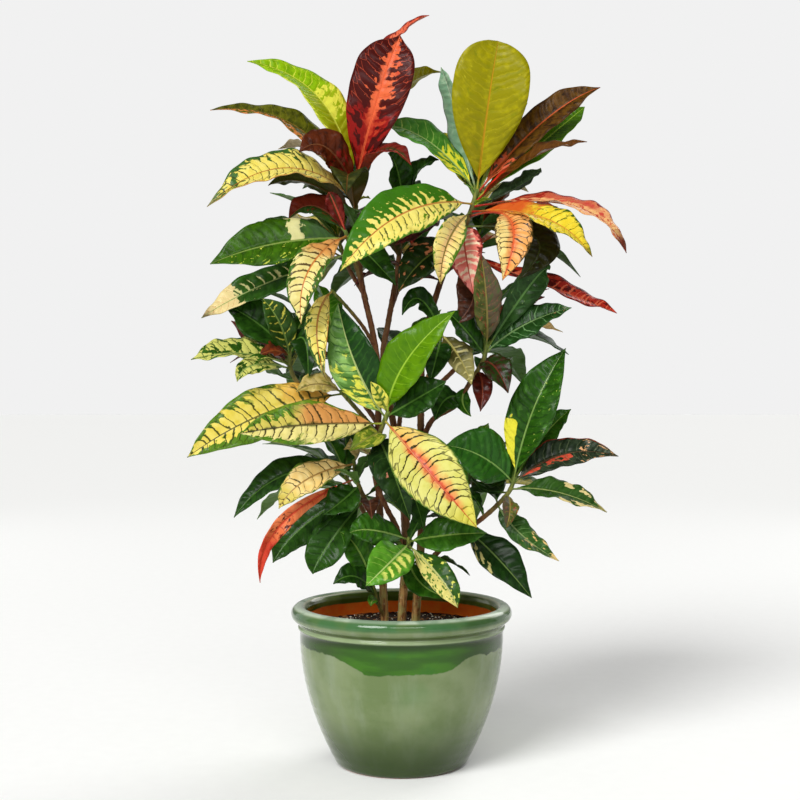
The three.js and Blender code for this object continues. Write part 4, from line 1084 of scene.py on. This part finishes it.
spotted_dark = leaf_skin("spotted_dark", "1c3a10 2f5220 5f8a44 46643a",
    blotches("8aa85a", 0.3, 0.04, size=2.6), veins("44703a", 0.07, 0.5))
pale_veined = leaf_skin("pale_veined", "1f4214 33602a 8aae68 5a7a4c",
    veins("7aa868", 0.07, 0.75), blotches("c88a6a", 0.34, 0.04, size=2, span=(0.75, 1)), depth=0.003)
mauve = leaf_skin("mauve", "44501c 646830 9a8a44 4a4638",
    wash("5c483c", 0.8, side=-1), blotches("4c5630", 0.5, 0.1, side=-1),
    blotches("8a5040", 0.38, 0.06, size=2.0, side=-1), blotches("8a3c2c", 0.45, 0.1, side=1),
    blotches("c0b250", 0.36, 0.03, size=2.6, side=1), veins("8a6a3c", 0.06, 0.7))
wine = leaf_skin("wine", "28180c 441c12 6f3424 4a1c14", blotches("23360f", 0.57, 0.1))
v_striped = leaf_skin("v_striped", "4c4c20 645c2c c8b860 66785a",
    wash("a8a060", 0.7, span=(0.55, 1)), veins("dcd08a", 0.14, 0.9, span=(0.3, 1)))
# The high quilted leaf's dark side veins are real veins painted darker as the shade in its quilting's
# grooves, and its soft lighter blotches are painted light on the bulges between them.
high_quilted = leaf_skin("high_quilted", "244f08 3c7014 8aae54 6a8f4a",
    blotches("528a2c", 0.46, 0.25), veins("15340a", 0.16, 0.65),
    blotches("ece43c", 0.82, 0.04, side=1, span=(0, 0.34), reach=(0.42, 1)),
    blotches("b8cc5a", 0.32, 0.03, size=2.8, side=-1), depth=0.003, gloss=0.2)
coral_marked = leaf_skin("coral_marked", "1c2a18 36462f 5a4a34 4a4a38",
    blotches("d4523a", 0.56, 0.06, size=1.0, side=-1, span=(0, 0.6), reach=(0, 0.6)),
    border("9a3c2c", 0.93, 0, 0.25, side=1), blotches("e0a874", 0.42, 0.04, size=1.6, span=(0.6, 1)),
    veins("5f6a48", 0.07, 0.6), depth=0.004)
cream_ended = leaf_skin("cream_ended", "20420e 33581c 9aa860 66804a",
    blotches("dcc888", 0.52, 0.05, span=(0.45, 1), reach=(0.5, 1)), wash("d8bc70", 0.8, span=(0.95, 1)),
    veins("4a7034", 0.07, 0.5), depth=0.003)
broad_green = leaf_skin("broad_green", "265814 3a6e20 8cb45c 5f8a40",
    blotches("4a842c", 0.44, 0.3), veins("184010", 0.13, 0.5), depth=0.003, gloss=0.2)
yellow_tipped = leaf_skin("yellow_tipped", "2a5018 40682a 9ab070 6a8a50",
    veins("6f9450", 0.07, 0.6), blotches("e6c078", 0.44, 0.06, span=(0.5, 1)),
    blotches("e8c880", 0.7, 0.06, span=(0.88, 1)), depth=0.003)
cream_edged = leaf_skin("cream_edged", "17340c 2a4e1a 7f9a50 4f6e3c",
    veins("0e2406", 0.13, 0.5),
    blotches("d8cc80", 0.5, 0.05, size=1.7, side=-1, span=(0, 0.6), reach=(0.5, 1)), depth=0.003)

dress("right_mid",
    (spotted_dark, 12, (189, -46, 709), (215, -60, 729), 44, (0.2, -0.9, 0.3)),
    (maroon, 4, (169, -8, 667), (214, -8, 694), 48, (0, 0.4, 0.9)),
    (pale_veined, 16, (180, -42, 650), (247, -60, 674), 56, (-0.1, -0.8, 0.6)),
    (mauve, 6, (122, -76, 684), (113, -88, 750), 44, (0.2, -0.9, 0.2)),
    (dark_green, 20, (92, -62, 642), (66, -72, 667), 50, (0.1, -0.8, 0.6)),
    (wine, 30, (136, -62, 587), (153, -82, 550), 45, (0, -0.85, 0.5)),
    (maroon, 44, (118, -52, 560), (114, -66, 523), 30, (0, -0.9, 0.3)),
    (dark_green, 90, (64, -40, 540), (49, -60, 511), 44, (0, -0.9, 0.4)),
    (mid_green, 70, (90, -30, 538), (102, -46, 516), 24, (0, -0.9, 0.4)),
)
fan("right_mid", [mid_green, dark_green], 92, 30, 160, 0.4)
dress("right_twig",
    (v_striped, 3, (82, -60, 605), (101, -76, 562), 40, (0, -0.9, 0.4)),
    (dark_green, 10, (51, -70, 605), (41, -86, 566), 40, (0, -0.9, 0.4)),
    (dark_green, 2, (27, -34, 688), (1, -50, 664), 34, (0, -0.8, 0.5)),
)
dress("right_low",
    (high_quilted, 6, (194, -36, 526), (244, -20, 617), 72, (-0.3, -0.9, 0.3)),
    (mid_green, 4, (216, 12, 487), (257, 20, 526), 44, (-0.2, -0.7, 0.6)),
    (coral_marked, 12, (238, -22, 459), (320, -32, 457), 54, (0, -0.75, 0.65)),
    (cream_ended, 20, (229, -52, 405), (298, -62, 377), 46, (0, -0.6, 0.8)),
    (broad_green, 10, (118, -48, 457), (64, -62, 474), 82, (0.1, -0.9, 0.4)),
    (yellow_tipped, 50, (172, -60, 346), (227, -75, 308), 42, (0, -0.55, 0.83)),
    (cream_edged, 110, (140, -52, 309), (188, -70, 254), 58, (0, -0.75, 0.65)),
    (mauve, 30, (157, -66, 384), (151, -72, 355), 24, (0.2, -0.9, 0.2)),
    (dark_green, 26, (112, 22, 400), (84, 30, 388), 40, (0, -0.4, 0.9)),
)
fan("right_low", [mid_green, dark_green], 92, 24, 170)
fan("right_low", [dark_green, mid_green, dark_green, dark_green], 190, 80, 96, 0.2, 70, "inner")
fan("right_back_top", [bronze, lime, scarlet, dark_green, yellow_ticked, dark_green], 28, 70, 195, 0.15)
fan("right_back", [mid_green, flame, dark_green, straw_net, dark_green, dark_green], 26, 70, 205, 0.6)
fan("right_back_low", [lime, dark_green, cream_barred, dark_green, gold_net, mid_green], 24, 64, 200, 0.8)
